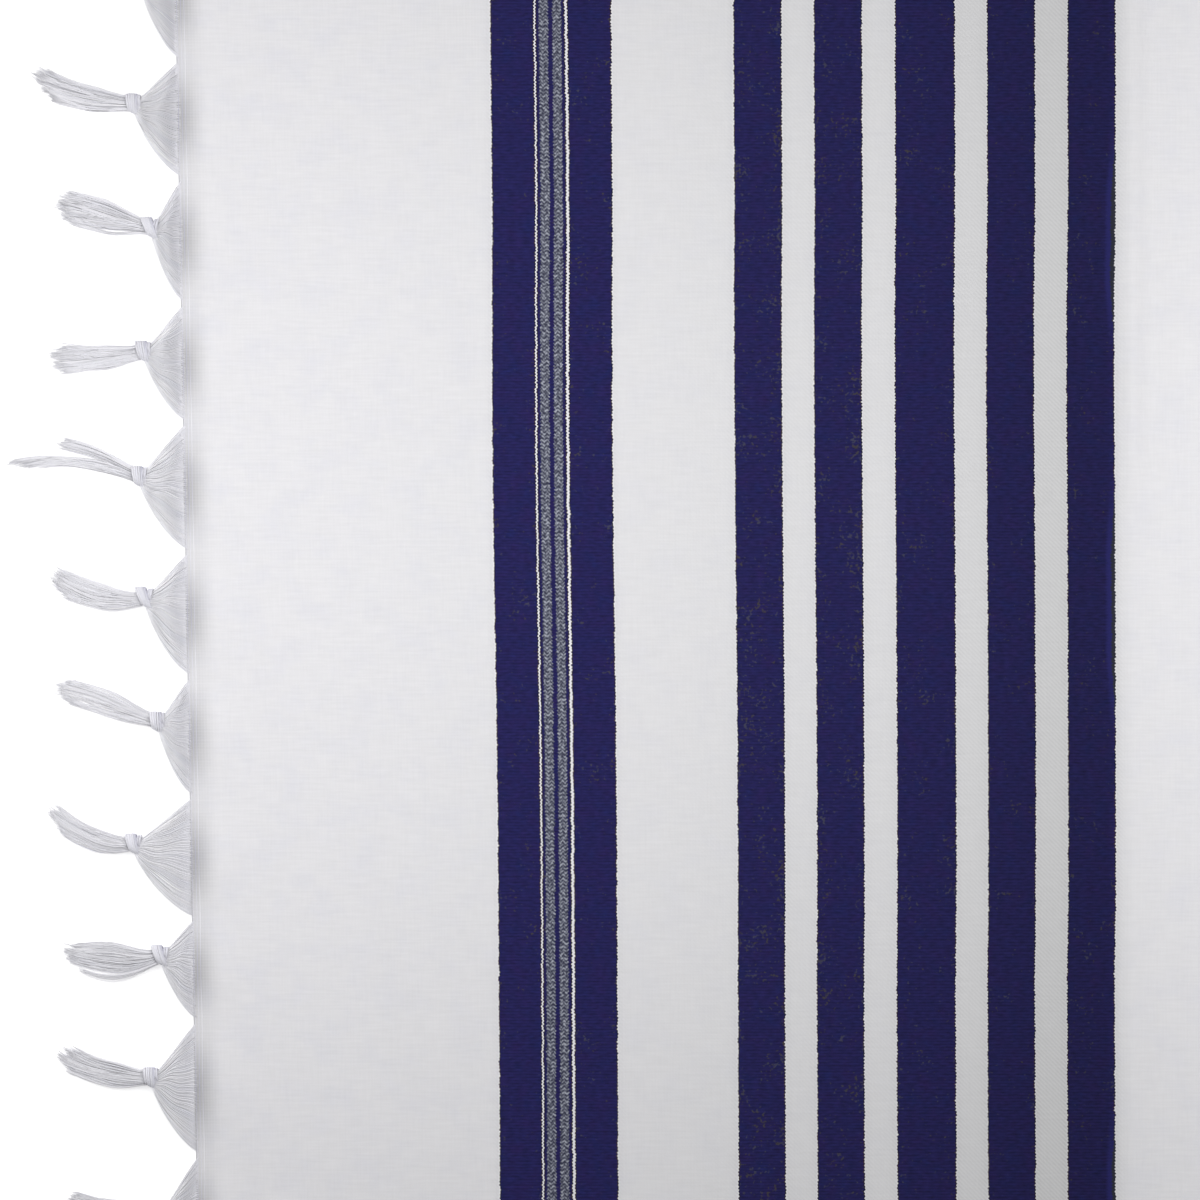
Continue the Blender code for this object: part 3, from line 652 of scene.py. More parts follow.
def make_yarn_material(name, light, shade, fibre_scale):
    """Yarn: uv x runs along the strand in metres, and uv y tells the strands apart."""
    nodes = Nodes(name)
    along, strand = nodes.uv_axes()
    patch = nodes.noise(nodes.combine(along * 70, strand * 97), 1, 2)
    per_strand = nodes.noise(nodes.combine(strand * 311, 0), 1, 0)
    colour = nodes.ramp(patch * 0.4 + per_strand * 0.6, (0.3, shade), (0.62, light))
    # The points' tone darkens the yarn and turns it a little blue: painted shade in the knots, on
    # the web near the cloth and beside the fringed end, and the tassels' and hem threads' tones.
    tint = nodes.mix_colour(nodes.tone(), SHADE_TINT, (1, 1, 1, 1))
    position = nodes.add("NewGeometry", {}, "Position")
    nodes.relief(nodes.noise(position, fibre_scale, 3, 0.6), 0.4)
    return nodes.finish(nodes.shade(colour, tint), 0.85, 0.1, 0.15)


# --- The cloth ---

SHELL_HALF = 0.35 * MM  # half the cloth's real thickness
ACROSS_CELLS = 124

# Sections along the cloth, from the fringed end: up to this reach, in steps of about this size.
STATIONS = rows("reach step", ((30, 1.5), (120, 4.5), (345, 7.5), (420, 2.5), (860, 6.2)))


def snap(places, targets):
    """Moves the place nearest to each target onto it."""
    for target in targets:
        places[np.argmin(np.abs(places - target))] = target


def shell_stations():
    """Places along the whole length, closer together where the cloth is rippled or folded."""
    insets = [0.0]
    for stretch in STATIONS:
        start = insets[-1]
        count = round((stretch.reach - start) / stretch.step)
        insets += [mix(start, stretch.reach, (i + 1) / count) for i in range(count)]
    left = np.array(insets) - HALF_LENGTH
    snap(left, [HOLE_INSET - HALF_LENGTH + side for side in HOLE_SIDES])
    return np.concatenate([left, -left[:-1][::-1]])


def shell_places():
    """Places across the cloth, with the corner holes' sides among them."""
    places = np.linspace(-HALF_WIDTH, HALF_WIDTH, ACROSS_CELLS + 1)
    snap(places, [middle + side for middle in (-HOLE_Y, HOLE_Y) for side in HOLE_SIDES])
    return places


def shell_faces(along, places):
    """The faces of the cloth's two sides and of its edges, without the corner holes."""
    cell_inset = HALF_LENGTH - np.abs((along[1:] + along[:-1]) / 2)
    cell_y = (places[1:] + places[:-1]) / 2
    near_end = np.abs(cell_inset - HOLE_INSET) < HOLE_SIZE / 2
    near_side = np.abs(np.abs(cell_y) - HOLE_Y) < HOLE_SIZE / 2
    cloth = ~(near_end[:, None] & near_side[None, :])
    padded = np.pad(cloth, 1)

    under = len(along) * len(places)
    index = np.arange(under).reshape(len(along), len(places))
    a, b = index[:-1, :-1], index[1:, :-1]
    c, d = index[1:, 1:], index[:-1, 1:]

    def side(*corners):
        return vectors(*(corner[cloth] for corner in corners))

    def wall(first, second, beside):
        where = cloth & ~beside
        start, end = first[where], second[where]
        return vectors(end, start, start + under, end + under)

    faces = [side(a, b, c, d), side(d, c, b, a) + under,
             wall(a, b, padded[1:-1, :-2]), wall(c, d, padded[1:-1, 2:]),
             wall(d, a, padded[:-2, 1:-1]), wall(b, c, padded[2:, 1:-1])]
    return np.concatenate(faces).tolist()


def make_cloth(material):
    along, places = shell_stations(), shell_places()
    grid_along, grid_y = np.meshgrid(along, places, indexing="ij")
    # Each half is worked out as the -X one, and the +X half is then turned half round.
    side = np.where(grid_along > 0, -1, 1)
    inset, y = HALF_LENGTH - np.abs(grid_along), side * grid_y
    middle = end_lift(inset, y) + CLOTH_WALL / 2
    points = [vectors(side * weft_x(inset, y), grid_y, middle + half).reshape(-1, 3)
              for half in (SHELL_HALF, -SHELL_HALF)]
    uv = vectors(grid_along - side * pattern_shift(inset, y), grid_y).reshape(-1, 2)
    # The cloth's points carry painted shade beside its fringed ends.
    tone = painted_edge_shade(inset, y).ravel()
    return new_piece("tallit_cloth", material, np.concatenate(points), shell_faces(along, places),
                     np.tile(uv, (2, 1)), np.tile(tone, 2))


# Thick weft threads beside the fringe: how far in from the cloth's end, and their tone.
HEM_INSETS = np.array(((0.7,), (2.2,), (3.5,))) * MM
HEM_TONES = np.array(((0.94,), (0.94,), (1.02,)))
HEM_RADIUS = 0.18 * MM
HEM_PROUD = -0.05 * MM  # a thread's middle over the cloth's face
HEM_MARGIN = 1 * MM  # from the selvedges
HEM_POINTS = 260


def make_hem(material):
    """The thicker weft threads that close the weave before the fringe."""
    y = np.linspace(-HALF_WIDTH + HEM_MARGIN, HALF_WIDTH - HEM_MARGIN, HEM_POINTS)
    z = end_lift(HEM_INSETS, y) + CLOTH_WALL / 2 + SHELL_HALF + HEM_PROUD
    # The threads carry the cloth's painted shade beside the fringe.
    threads = tubes(vectors(weft_x(HEM_INSETS, y), y, z), HEM_RADIUS, sides=5,
                    tone=HEM_TONES * painted_edge_shade(HEM_INSETS, y))
    return new_piece("hem_threads_left", material, *threads)


# --- The fringe ---

WEB_GROUPS = 28  # the warp ends of a bunch lie in groups beside each other
GROUP_STRANDS = 6
GROUP_CLOSING = 0.93
GROUP_CROWN = 0.09 * MM  # a group's outer strands lie this much lower
WEB_POINTS = 11
WEB_RADIUS = 0.24 * MM
WEB_FLATNESS = 0.7
WEB_MARGIN = 0.35 * MM  # from the valleys beside the bunch
ROOT_DRAW = 0.03 * MM  # how unevenly the strands start,
LEVEL_DRAW = 0.015  # turn towards the knot,
ENTRY_DRAW = 0.012  # lie side by side
HEIGHT_DRAW = 0.03 * MM  # and lie over each other
# The two turning points of a strand's way to the knot, on the bunch's -Y side and on its +Y side:
# how far out, as a share of its reach, and how much of its place along the cloth it keeps.
WEB_LEVEL = np.array(((0.4, 0.88), (0.3, 0.7)))
WEB_ENTRY = np.array(((0.94, 0.34), (0.76, 0.2)))
WEB_RISES = (0.3, 0.7)  # how much of the height that is left a strand gains up to each of them
WEB_DIP = 0.3 * MM  # a strand lies this much lower at the first
WEB_OVERLAP = 1.6 * MM  # a strand starts in the cloth's face, this far in,
WEB_SUNK = (0.16 * MM, 0.02 * MM)  # where its middle lies this deep, and less after a while
WEB_SURFACING = 1.6 * MM
WEB_SWAY = 0.75 * MM  # the strands sway together
WEB_SWAYS = 1.4
WEB_SWAY_SHIFTS = (3.6, 1.9)  # from side to side of a bunch, and from bunch to bunch
NECK_BACK = 2 * MM  # from the knot's middle back to where the web enters it
NECK_DEPTH = 1.6 * MM  # how far it goes in
NECK_DROP = 1.8 * MM  # and how far from the knot's middle towards -Y
NECK_HALF_BREADTH = 2.5 * MM
NECK_HALF_HEIGHT = 1.8 * MM
NECK_HEIGHT = 3 * MM
NECK_ROUNDNESS = 0.96
FLOOR_CLEARANCE = 0.05 * MM
WEB_SHADE_REACH = 9 * MM  # painted shade on the web near the cloth
LOCKS = 9
LOCK_STRANDS = 25
TASSEL_GROUP = 5  # strands of one yarn
TASSEL_POINTS = 10
TASSEL_RADIUS = 0.19 * MM
TASSEL_TIPS = (0.85, 0.4)  # a strand's last two radii, as shares
SIDES_SHORTER = 0.16
TASSEL_START = 1.2 * MM
TASSEL_NECK = 5.6 * MM
HALF_HEIGHTS = (1.9 * MM, 0.8 * MM)  # at the knot, and where the tassel lies flat
LOW_FROM = 1 / 2.6  # from this share of its length on it lies low,
FLAT_FROM = 1 / 1.3  # and from this one on it is flat
TASSEL_ROUNDNESS = 0.78
TASSEL_TONE = 0.965
LOCK_REACH = 0.86  # the outer locks' places across the tassel
LOCK_RISE = 0.07  # the locks lie higher and lower by turns
LOCK_SWAP = 0.14  # and change places a little
LOCK_SWAPS = 0.65
LOCK_DRAWS = (0.04, 0.02)  # how unevenly the locks lie across the tassel, and their lengths
STRAND_DRAWS = (0.135, 0.05)  # how groups of strands lie in their lock, and single strands
LENGTH_DRAWS = (1.03, 0.06)  # the longest strands of a lock, and how much shorter others are
RISE_DRAW = 0.75
STRAY_DRAW = 2.7 * MM  # how far a strand strays
STRAY_START = 0.6  # beyond this share of the tassel's length
ACROSS_LIMIT = 1.1
BAND_POINTS = 28
BAND_RADIUS = 0.24 * MM
BAND_GROUP = 3  # strands that lie close together in a knot's turn
BAND_CLOSING = 0.7
BAND_DRAW = 0.05 * MM
BAND_TAPER = 0.12  # a turn is narrower on its -Y side
CREVICE_SHADE = 0.4  # painted shade where a knot's turns lie beside each other
BAND_CONE = 0.14  # a turn is fuller on the cloth's side
KNOT_SLOPE = 0.22  # a knot drops towards -Y on its way to the cloth
TILT_DRAW = 9  # degrees, from bunch to bunch

# The knot's turns: where the turn's middle lies from the knot's middle towards the cloth and
# towards +Y, its tilt in degrees, its half sizes, its half breadth, its strands, how much painted
# shade darkens it, and its crevice's side, which is 1 for the cloth's side.
BANDS = rows("offset rise tilt half_y half_z half_breadth strands dull crevice", (
    (-0.6, 0.2, -12, 3.4, 2.3, 2.2, 15, 0.14, 1),
    (1.9, 1.7, 4, 2, 1.8, 0.9, 6, 0.2, -1),
), plain=("tilt", "strands", "dull", "crevice"))
BAND_CROWN = 0.45 * MM
KNOT_HEIGHT = 3.1 * MM  # the knot's middle over the floor
CORE_HALF = (2.6 * MM, 3.2 * MM, 2.1 * MM)
CORE_ROUNDNESS = 0.62
# The knot's core is painted darker, as the shade inside the knot.
CORE_SHADE = 0.8
CORE_RINGS = 9
CORE_SIDES = 16


def outside_points(out, y, z):
    """Points this far out beyond the cloth's -X end."""
    return vectors(weft_x(-out, y), y, z)


def grouped(count, groups, closing):
    """Places of strands from 0 to 1, drawn together in groups, and from -1 to 1 in their group."""
    place = (np.arange(count) + 0.5) / count
    group = (np.floor(place * groups) + 0.5) / groups
    return mix(group, place, closing), (place - group) * 2 * groups


def bezier(a, b, c, d, t):
    """A cubic curve through arrays of four control values."""
    a, b, c, d = (np.reshape(value, (-1, 1)) for value in (a, b, c, d))
    s = 1 - t
    return a * s ** 3 + 3 * b * s * s * t + 3 * c * s * t * t + d * t ** 3


def web_strands(bunch, chance):
    """The warp ends of one bunch, from the cloth's end into the knot."""
    count = WEB_GROUPS * GROUP_STRANDS
    place, in_group = grouped(count, WEB_GROUPS, GROUP_CLOSING)
    across = 2 * place - 1
    group_draw = chance.normal(0, 1, WEB_GROUPS).repeat(GROUP_STRANDS)
    root_y = mix(bunch.low + WEB_MARGIN, bunch.high - WEB_MARGIN, place)
    root_y = root_y + chance.normal(0, ROOT_DRAW, count)
    root_z = end_lift(0, root_y) + CLOTH_WALL / 2 + SHELL_HALF - WEB_SUNK[1]
    # In the neck the strands pile up, each at its own height.
    layer = 2 * (np.arange(count) * GOLDEN % 1) - 1
    neck_y = bunch.knot_y - NECK_DROP + NECK_HALF_BREADTH * across
    neck_z = NECK_HEIGHT + NECK_HALF_HEIGHT * np.sqrt(1 - NECK_ROUNDNESS * across ** 2) * layer

    reach = bunch.knot_out - NECK_BACK
    level_out, level_keep = mix(*WEB_LEVEL[:, :, None], (1 + across) / 2)
    entry_out, entry_keep = mix(*WEB_ENTRY[:, :, None], (1 + across) / 2)
    level = reach * (level_out + LEVEL_DRAW * group_draw)
    level_y = mix(neck_y, root_y, level_keep)
    entry_y = mix(neck_y, root_y, entry_keep + ENTRY_DRAW * group_draw)
    t = np.linspace(0, 1, WEB_POINTS)
    out = bezier(-WEB_OVERLAP, level, reach * entry_out, reach + NECK_DEPTH, t)
    y = bezier(root_y, level_y, entry_y, neck_y, t)
    shift = WEB_SWAY_SHIFTS[0] * across[:, None] + WEB_SWAY_SHIFTS[1] * bunch.number
    sway = WEB_SWAY * np.sin(TURN * WEB_SWAYS * t + shift)
    y = y + sway * (1 - across[:, None] ** 2) * np.sin(math.pi * t)
    level_z = mix(root_z, neck_z, WEB_RISES[0]) - WEB_DIP + HEIGHT_DRAW * group_draw
    level_z = level_z - GROUP_CROWN * in_group ** 2
    z = bezier(root_z, level_z, mix(level_z, neck_z, WEB_RISES[1]), neck_z, t)
    z = z - (WEB_SUNK[0] - WEB_SUNK[1]) * fade(out + WEB_OVERLAP, WEB_SURFACING)
    return outside_points(out, y, np.maximum(z, WEB_RADIUS + FLOOR_CLEARANCE))


def tassel_strands(bunch, chance):
    """The loose ends of one bunch, from inside its knot to their cut tips."""
    count = LOCKS * LOCK_STRANDS
    # Each lock keeps its place in the tassel, and each strand its place in the lock.
    locks = np.arange(LOCKS)
    lock_across = np.linspace(-LOCK_REACH, LOCK_REACH, LOCKS)
    lock_across = lock_across + chance.normal(0, LOCK_DRAWS[0], LOCKS)
    lock_rise = np.where(locks % 2 == 0, LOCK_RISE, -LOCK_RISE)
    lock_phase = chance.uniform(0, TURN, LOCKS)
    lock_length = 1 + chance.normal(0, LOCK_DRAWS[1], LOCKS)
    in_lock = chance.normal(0, STRAND_DRAWS[0], count // TASSEL_GROUP).repeat(TASSEL_GROUP)
    in_lock = in_lock + chance.normal(0, STRAND_DRAWS[1], count)
    half_sign = np.where(lock_across < 0, -1, 1)
    lock_length = lock_length * (bunch.length - half_sign * bunch.extra / 2)
    lock_length = lock_length * (1 - SIDES_SHORTER * lock_across ** 2)

    lock = locks.repeat(LOCK_STRANDS)[:, None]
    shorter = np.abs(chance.normal(0, LENGTH_DRAWS[1], (count, 1)))
    length = lock_length[lock] * (LENGTH_DRAWS[0] - shorter)
    t = np.linspace(0, 1, TASSEL_POINTS)
    reach = mix(TASSEL_START, length, t)
    share = reach / bunch.length
    centre = bunch.knot_y + bunch.lean * share + 4 * bunch.bow * share * (1 - share)
    parting = half_sign[lock] * bunch.split / 2 * share ** 2
    width = mix(TASSEL_NECK, bunch.waist, ease(share, 0, 0.5))
    width = mix(width, bunch.tip, ease(share, 0.5, 1))
    swap = LOCK_SWAP * np.sin(TURN * LOCK_SWAPS * share + lock_phase[lock])
    across = lock_across[lock] + in_lock[:, None] + swap * np.sin(math.pi * share)
    across = np.clip(across, -ACROSS_LIMIT, ACROSS_LIMIT)
    stray = chance.normal(0, STRAY_DRAW, (count, 1)) * np.maximum(share - STRAY_START, 0) ** 2
    y = centre + parting + across * width / 2 * 0.95 + stray

    half_height = mix(*HALF_HEIGHTS, ease(share, 0, FLAT_FROM))
    rest = TASSEL_RADIUS + 2 * FLOOR_CLEARANCE
    middle_z = mix(KNOT_HEIGHT, rest + half_height, ease(share, 0, LOW_FROM))
    rise = lock_rise[lock] + chance.uniform(-RISE_DRAW, RISE_DRAW, (count, 1))
    round_height = np.sqrt(np.maximum(1 - TASSEL_ROUNDNESS * across ** 2, 0.05))
    z = np.maximum(middle_z + rise * half_height * round_height, rest)
    return outside_points(bunch.knot_out + reach, y, z)


def knot_band(bunch, band, chance):
    """One turn of a knot as tubes with painted shade, deepest beside the crevice between the turns.
    """
    tilt = math.radians(band.tilt + TILT_DRAW * math.sin(bunch.number * 2.3 + band.offset / MM))
    angle = circle(BAND_POINTS)
    place, _ = grouped(band.strands, band.strands // BAND_GROUP, BAND_CLOSING)
    place = 2 * place[:, None] - 1
    draws = (band.strands, 1)
    crown = BAND_CROWN * np.sqrt(1 - 0.9 * place ** 2) + chance.normal(0, BAND_DRAW, draws)
    y = (band.half_y + crown) * (1 + BAND_CONE * place) * np.cos(angle)
    z = (band.half_z + crown) * np.sin(angle)
    spread = band.half_breadth * (1 + BAND_TAPER * np.cos(angle))
    along = band.offset + place * spread + math.tan(tilt) * y + chance.normal(0, BAND_DRAW, draws)
    world_y = bunch.knot_y + band.rise + y - KNOT_SLOPE * along
    centres = outside_points(bunch.knot_out - along, world_y, KNOT_HEIGHT + z)
    depth = np.maximum(band.crevice * place, 0) ** 2 * (0.5 + 0.5 * np.cos(angle))
    return tubes(centres, BAND_RADIUS, up=vectors(0, np.cos(angle), np.sin(angle)), closed=True,
                 tone=1 - band.dull - CREVICE_SHADE * depth)


def knot_core(bunch):
    """The knot's inside, which fills the gaps between its strands, painted darker as the shade
    there.
    """
    half_x, half_y, half_z = CORE_HALF
    t = np.linspace(-1, 1, CORE_RINGS)[:, None]
    profile = np.sqrt(1 - CORE_ROUNDNESS * t ** 2)
    angle = circle(CORE_SIDES)
    y = bunch.knot_y + KNOT_SLOPE * half_x * t + profile * half_y * np.cos(angle)
    z = KNOT_HEIGHT + profile * half_z * np.sin(angle)
    points = outside_points(bunch.knot_out + t * half_x, y, z).reshape(-1, 3)
    ring = np.arange(len(points)).reshape(CORE_RINGS, CORE_SIDES)
    beside = np.roll(ring, -1, axis=1)
    faces = vectors(ring[:-1], ring[1:], beside[1:], beside[:-1]).reshape(-1, 4).tolist()
    faces += [ring[0].tolist(), ring[-1][::-1].tolist()]
    return points, faces, vectors(points[:, 0], 0.37), np.full(len(points), CORE_SHADE)


def make_fringe(material):
    """Webs, knots and tassels of the -X end, as three pieces."""
    chance = np.random.default_rng(21)
    webs, knots, tassels = [], [], []
    for bunch in BUNCHES:
        webs.append(tubes(web_strands(bunch, chance), WEB_RADIUS, sides=3, flat=WEB_FLATNESS,
                          group=GROUP_STRANDS))
        knots += [knot_band(bunch, band, chance) for band in BANDS]
        knots.append(knot_core(bunch))
        tassels.append(tubes(tassel_strands(bunch, chance), TASSEL_RADIUS, sides=3,
                             tips=TASSEL_TIPS, group=TASSEL_GROUP, tone=TASSEL_TONE))
    points, faces, uv, _ = join(webs)
    # The web carries painted shade near the cloth.
    out = weft_x(0, points[:, 1]) - points[:, 0]
    web = (points, faces, uv, 1 - EDGE_PAINTED_SHADE * fade(out, WEB_SHADE_REACH))
    return [new_piece("fringe_web_left", material, *web),
            new_piece("fringe_knots_left", material, *join(knots)),
            new_piece("fringe_tassels_left", material, *join(tassels))]


# --- The ritual tassels ---

LOOP_THICKNESS = 0.8 * MM
LOOP_CLEARANCE = 0.4 * MM  # between the threads and the cloth
LOOP_INNER_SIDE = 1.2 * MM  # from the hole's middle to the threads that go through it
LOOP_CORNER = 0.9 * MM
LOOP_THREADS = 4
THREAD_PITCH = 0.88 * MM
HEAD_KNOTS = 5
KNOT_PITCH = 24 * MM
FIRST_KNOT = 5.5 * MM
HEAD_RADIUS = 3 * MM
HEAD_STRAIGHT = 9.5 * MM
TURN_RADIUS = 9 * MM
HEAD_MIDDLE = FLOOR_GAP + HEAD_RADIUS
INSIDE_THREADS = 7
INSIDE_PLACE = 0.95 * MM  # their distance from the head's middle line
INSIDE_RADIUS = 0.46 * MM
INSIDE_TWIST = 30 * MM
INSIDE_POINTS = 80
WINDING_PLACE = 1.606 * MM
WINDING_START = 2.56 * MM  # from a double knot's middle
WINDING_TURNS = (7, 8, 11, 13)  # between one double knot and the next
WINDING_POINTS = 12  # for each turn
WINDING_CLOSING = 0.15  # the turns lie closer together in the middle of a stretch
THREAD_RADIUS = 0.42 * MM
STRANDS = 8
STRAND_START = 1.6 * MM  # from the last double knot's middle
STRAND_PLACE = 1.33 * MM  # and from the head's middle line
STRAND_LENGTH = 205 * MM
STRAND_LANE = 2.9 * MM
# A strand's way: share of its length, share of its lane's distance, share of the head's height.
STRAND_WAY = ((0, 0.16, 1), (0.07, 0.62, 0.85), (0.18, 0.9, 0.4), (0.36, 0.9, 0),
              (0.56, 0.8, 0), (0.78, 0.9, 0), (1, 1, 0))
SMOOTHING = 9
STRAND_SWAY = 5 * MM
STRAND_SWAYS = 1.3
OWN_SWAY = 0.7 * MM
OWN_SWAYS = 2.1
OWN_SWAY_SHIFT = 0.37
UNEVENNESS = 0.012
STRAND_POINTS = 110
STRAND_TIPS = (0.7,)
PLIES = 2
PLY_RADIUS = 0.34 * MM
PLY_OFFSET = 0.27 * MM
PLY_PITCH = 5.2 * MM

# A double knot's turns: offset from its middle, tilt in degrees, half sizes, threads side by side.
TIES = rows("offset tilt radius half_breadth threads", (
    (-1, 24, 2.35, 0.9, 3),
    (1, -24, 2.35, 0.9, 3),
    (0, 60, 2.1, 0.45, 2),
), plain=("tilt", "threads"))
TIE_SLANT = 0.6
TIE_POINTS = 20


def head_knot(number):
    """How far along the head's middle line this knot's middle is."""
    return FIRST_KNOT + number * KNOT_PITCH


def head_route(distance):
    """The head's middle line as arrays: how far out towards the fringed end, how far from the
    hole towards the selvedge's side, and the angle turned."""
    start = HOLE_INSET + LOOP_CLEARANCE + LOOP_THICKNESS
    angle = np.clip((distance - HEAD_STRAIGHT) / TURN_RADIUS, 0, math.pi / 2)
    run = np.maximum(distance - HEAD_STRAIGHT - TURN_RADIUS * math.pi / 2, 0)
    end = TURN_RADIUS * (1 - np.cos(angle)) + run
    side = start + np.minimum(distance, HEAD_STRAIGHT) + TURN_RADIUS * np.sin(angle)
    return end, side, angle


def head_points(distance, radius, around):
    """Points round the head's middle line, in the tassel's local coordinates."""
    end, side, angle = head_route(distance)
    sideways = radius * np.cos(around)
    return vectors(end + sideways * np.cos(angle), side - sideways * np.sin(angle),
                   HEAD_MIDDLE + radius * np.sin(around))


def loop_threads():
    """The threads through the hole and round the selvedge."""
    low = FLOOR_GAP + LOOP_THICKNESS / 2
    high = CORNER_LIFT + CLOTH_WALL + LOOP_CLEARANCE + LOOP_THICKNESS / 2
    inner = LOOP_INNER_SIDE
    outer = HOLE_INSET + LOOP_CLEARANCE + LOOP_THICKNESS / 2
    cut = LOOP_CORNER * 0.3
    # Half of the loop, as side and height seen from the fringed end, and its copy turned round.
    half = [(inner, low + LOOP_CORNER), (inner, high - LOOP_CORNER), (inner + cut, high - cut),
            (inner + LOOP_CORNER, high)]
    half += [(mix(inner, outer, share), high) for share in (0.2, 0.4, 0.6, 0.8)]
    half += [(outer - LOOP_CORNER, high), (outer - cut, high - cut)]
    outline = half + [(inner + outer - side, low + high - z) for side, z in half]
    places = [(i - (LOOP_THREADS - 1) / 2) * THREAD_PITCH for i in range(LOOP_THREADS)]
    centres = np.array([[(x, side, z) for side, z in outline] for x in places])
    return tubes(centres, THREAD_RADIUS, sides=6, up=(1, 0, 0), closed=True)


def threads_inside():
    """Seven threads inside the windings, from the selvedge to the last knot."""
    distance = np.linspace(0, head_knot(HEAD_KNOTS - 1), INSIDE_POINTS)
    around = circle(INSIDE_THREADS)[:, None] + distance / INSIDE_TWIST
    return tubes(head_points(distance, INSIDE_PLACE, around), INSIDE_RADIUS, sides=5)


def windings(gap):
    """One thread wound round the others, in the stretch between two knots."""
    turns = WINDING_TURNS[gap]
    share = np.linspace(0, 1, turns * WINDING_POINTS + 1)
    start, end = head_knot(gap) + WINDING_START, head_knot(gap + 1) - WINDING_START
    distance = mix(start, end, mix(share, ease(share), WINDING_CLOSING))
    centres = head_points(distance, WINDING_PLACE, TURN * turns * share)
    return tubes(centres[None], THREAD_RADIUS, sides=5, up=(0.3, 0.2, 1))


def tie(knot, turn):
    """One turn of a double knot, whose threads cross over the other turns' round the head."""
    around = circle(TIE_POINTS) + knot
    place = np.linspace(-1, 1, turn.threads)[:, None]
    slant = math.tan(math.radians(turn.tilt)) * turn.radius * np.cos(around) * TIE_SLANT
    distance = head_knot(knot) + turn.offset + place * turn.half_breadth + slant
    centres = head_points(distance, turn.radius, around)
    outward = head_points(distance, 2 * turn.radius, around) - centres
    return tubes(centres, THREAD_RADIUS, sides=5, up=unit(outward), closed=True)


def loose_strands():
    """Eight strands of two plies each, from the last knot to their tips."""
    start_end, start_side, _ = head_route(head_knot(HEAD_KNOTS - 1) + STRAND_START)
    share = np.linspace(0, 1, STRAND_POINTS)
    places, *columns = np.array(STRAND_WAY).T
    kernel = np.ones(SMOOTHING) / SMOOTHING
    spread, height = (np.convolve(np.pad(np.interp(share, places, column), SMOOTHING // 2,
                                         mode="edge"), kernel, mode="valid")
                      for column in columns)
    sway = STRAND_SWAY * np.sin(math.pi * STRAND_SWAYS * share)
    resting = FLOOR_GAP + PLY_RADIUS + PLY_OFFSET
    lines = []
    for strand in range(STRANDS):
        around = TURN * (strand + 0.5) / STRANDS
        # The upper four take every other lane from one side, and the lower four the ones between.
        upper = strand < STRANDS / 2
        place = strand if upper else STRANDS - 1 - strand
        lane = (STRANDS - 1) / 2 - 2 * place - (0 if upper else 1)
        own_sway = OWN_SWAY * np.sin(TURN * (share * OWN_SWAYS + strand * OWN_SWAY_SHIFT)) * share
        uneven = 1 - UNEVENNESS * ((strand * 3) % 7)
        end = start_end + STRAND_LENGTH * share * uneven
        side = start_side - lane * STRAND_LANE * spread + sway + own_sway
        root_height = HEAD_MIDDLE + math.sin(around) * STRAND_PLACE
        middle = vectors(end, side, mix(resting, max(resting, root_height), height))
        tangent = unit(np.gradient(middle, axis=0))
        sideways = unit(np.cross(tangent, (0, 0, 1)))
        upward = np.cross(sideways, tangent)
        for ply in range(PLIES):
            twist = TURN * (end / PLY_PITCH + ply / PLIES)[:, None]
            lines.append(middle + (sideways * np.cos(twist) + upward * np.sin(twist)) * PLY_OFFSET)
    return tubes(np.array(lines), PLY_RADIUS, tips=STRAND_TIPS)


def make_tzitzit(side_sign, name, material):
    """The ritual tassel of the -X end's corner on the +Y or the -Y side."""
    parts = [loop_threads(), threads_inside(), loose_strands()]
    parts += [windings(gap) for gap in range(len(WINDING_TURNS))]
    parts += [tie(knot, turn) for knot in range(HEAD_KNOTS) for turn in TIES]
    points, faces, uv, tones = join(parts)
    hole_y = side_sign * HOLE_Y
    points = points * (-1, side_sign, 1) + (weft_x(HOLE_INSET, hole_y), hole_y, 0)
    if side_sign > 0:
        faces = [face[::-1] for face in faces]
    return new_piece(name, material, points, faces, uv, tones)


# --- The studio ---

FRAME_WIDTH = 480 * MM  # what the camera sees from side to side, and from top to bottom
CAMERA_X = -694 * MM
CAMERA_Y = -20.4 * MM
LENS = 100
SENSOR = 36

# A long soft light close over the table, a key from the +Y side, and a white room.
STRIP_PLACE = (0, 0.02, 0.42)
STRIP_SIZE = (3.2, 0.25)
STRIP_POWER = 5.05
KEY_PLACE = (-0.75, 1.6, 1.6)
KEY_SIZE = (1, 1)
KEY_POWER = 14
SKY_STRENGTH = 0.34
FLOOR_GLOW = 0.42  # a lit table, which leaves hardly a shadow
FLOOR_REACH = 12.0


def make_floor():
    nodes = Nodes("studio_floor")
    material = nodes.finish((0.9, 0.9, 0.9, 1), 1, 0, 0)
    nodes.put(nodes.shader, {"Emission Color": (1, 1, 1, 1), "Emission Strength": FLOOR_GLOW})
    points = np.array([(-1, -1, 0), (1, -1, 0), (1, 1, 0), (-1, 1, 0)]) * FLOOR_REACH
    floor = new_piece("studio_floor", material, points, [[0, 1, 2, 3]], points[:, :2], np.ones(4))


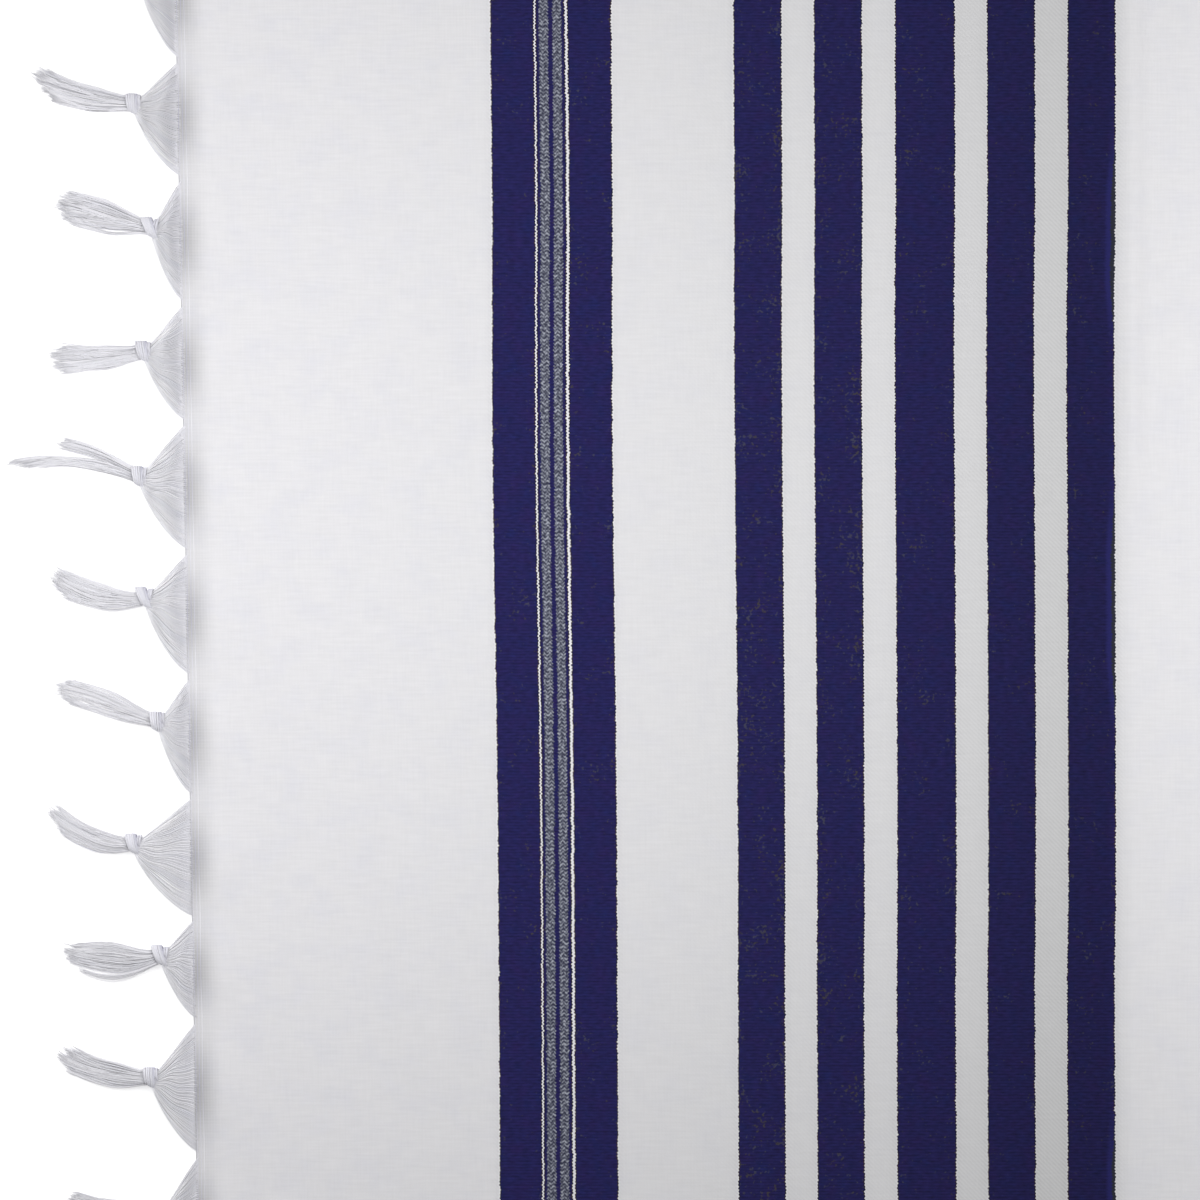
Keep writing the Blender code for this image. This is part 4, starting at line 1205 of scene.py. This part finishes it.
def area_light(name, place, target, size, power):
    """A rectangular light that isn't seen itself."""
    light = bpy.data.lights.new(name, "AREA")
    light.shape = "RECTANGLE"
    light.size, light.size_y = size
    light.energy = power
    lamp = link_object(name, light)
    lamp.location = place
    lamp.rotation_euler = (Vector(target) - Vector(place)).to_track_quat("-Z", "Y").to_euler()
    lamp.visible_camera = False


def make_studio():
    make_floor()
    world = bpy.data.worlds.new("studio")
    bpy.context.scene.world = world
    world.use_nodes = True
    sky = world.node_tree.nodes["Background"]
    sky.inputs["Color"].default_value = (1, 1, 1, 1)
    sky.inputs["Strength"].default_value = SKY_STRENGTH
    area_light("strip", STRIP_PLACE, (*STRIP_PLACE[:2], 0), STRIP_SIZE, STRIP_POWER)
    area_light("key", KEY_PLACE, (CAMERA_X, 0, 0), KEY_SIZE, KEY_POWER)

    camera_data = bpy.data.cameras.new("camera")
    camera_data.lens = LENS
    camera_data.sensor_width = SENSOR
    camera_data.clip_start = 0.01
    camera = link_object("camera", camera_data)
    camera.location = (CAMERA_X, CAMERA_Y, FRAME_WIDTH * LENS / SENSOR + CLOTH_WALL)
    bpy.context.scene.camera = camera
    bpy.context.scene.view_settings.view_transform = "Standard"


# --- Putting it together ---


def main():
    fringe_yarn = make_yarn_material("fringe_yarn", linear(251, 250, 253), linear(242, 242, 248),
                                     2600)
    tzitzit_yarn = make_yarn_material("tzitzit_yarn", linear(240, 238, 232),
                                      linear(224, 221, 213), 2200)

    ends = []
    hem = make_hem(fringe_yarn)
    fringe = make_fringe(fringe_yarn)
    for piece in [hem] + fringe:
        other = turned_copy(piece, piece.name.replace("left", "right"))
        ends += [piece, other]
        for end, each in (("left", piece), ("right", other)):
            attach(each, "root")
            if piece in fringe:
                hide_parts("fringe_" + end)

    for side_sign, near, far in ((1, "upper", "lower"), (-1, "lower", "upper")):
        piece = make_tzitzit(side_sign, "tzitzit_threads_left_" + near, tzitzit_yarn)
        other = turned_copy(piece, "tzitzit_threads_right_" + far)
        for each, node in ((piece, "tzitzit_left_" + near), (other, "tzitzit_right_" + far)):
            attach(each, "root")
            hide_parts(node)
            ends.append(each)

    cloth = make_cloth(make_cloth_material())
    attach(cloth, "root")
    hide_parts("shawl_cloth")

    make_studio()


main()
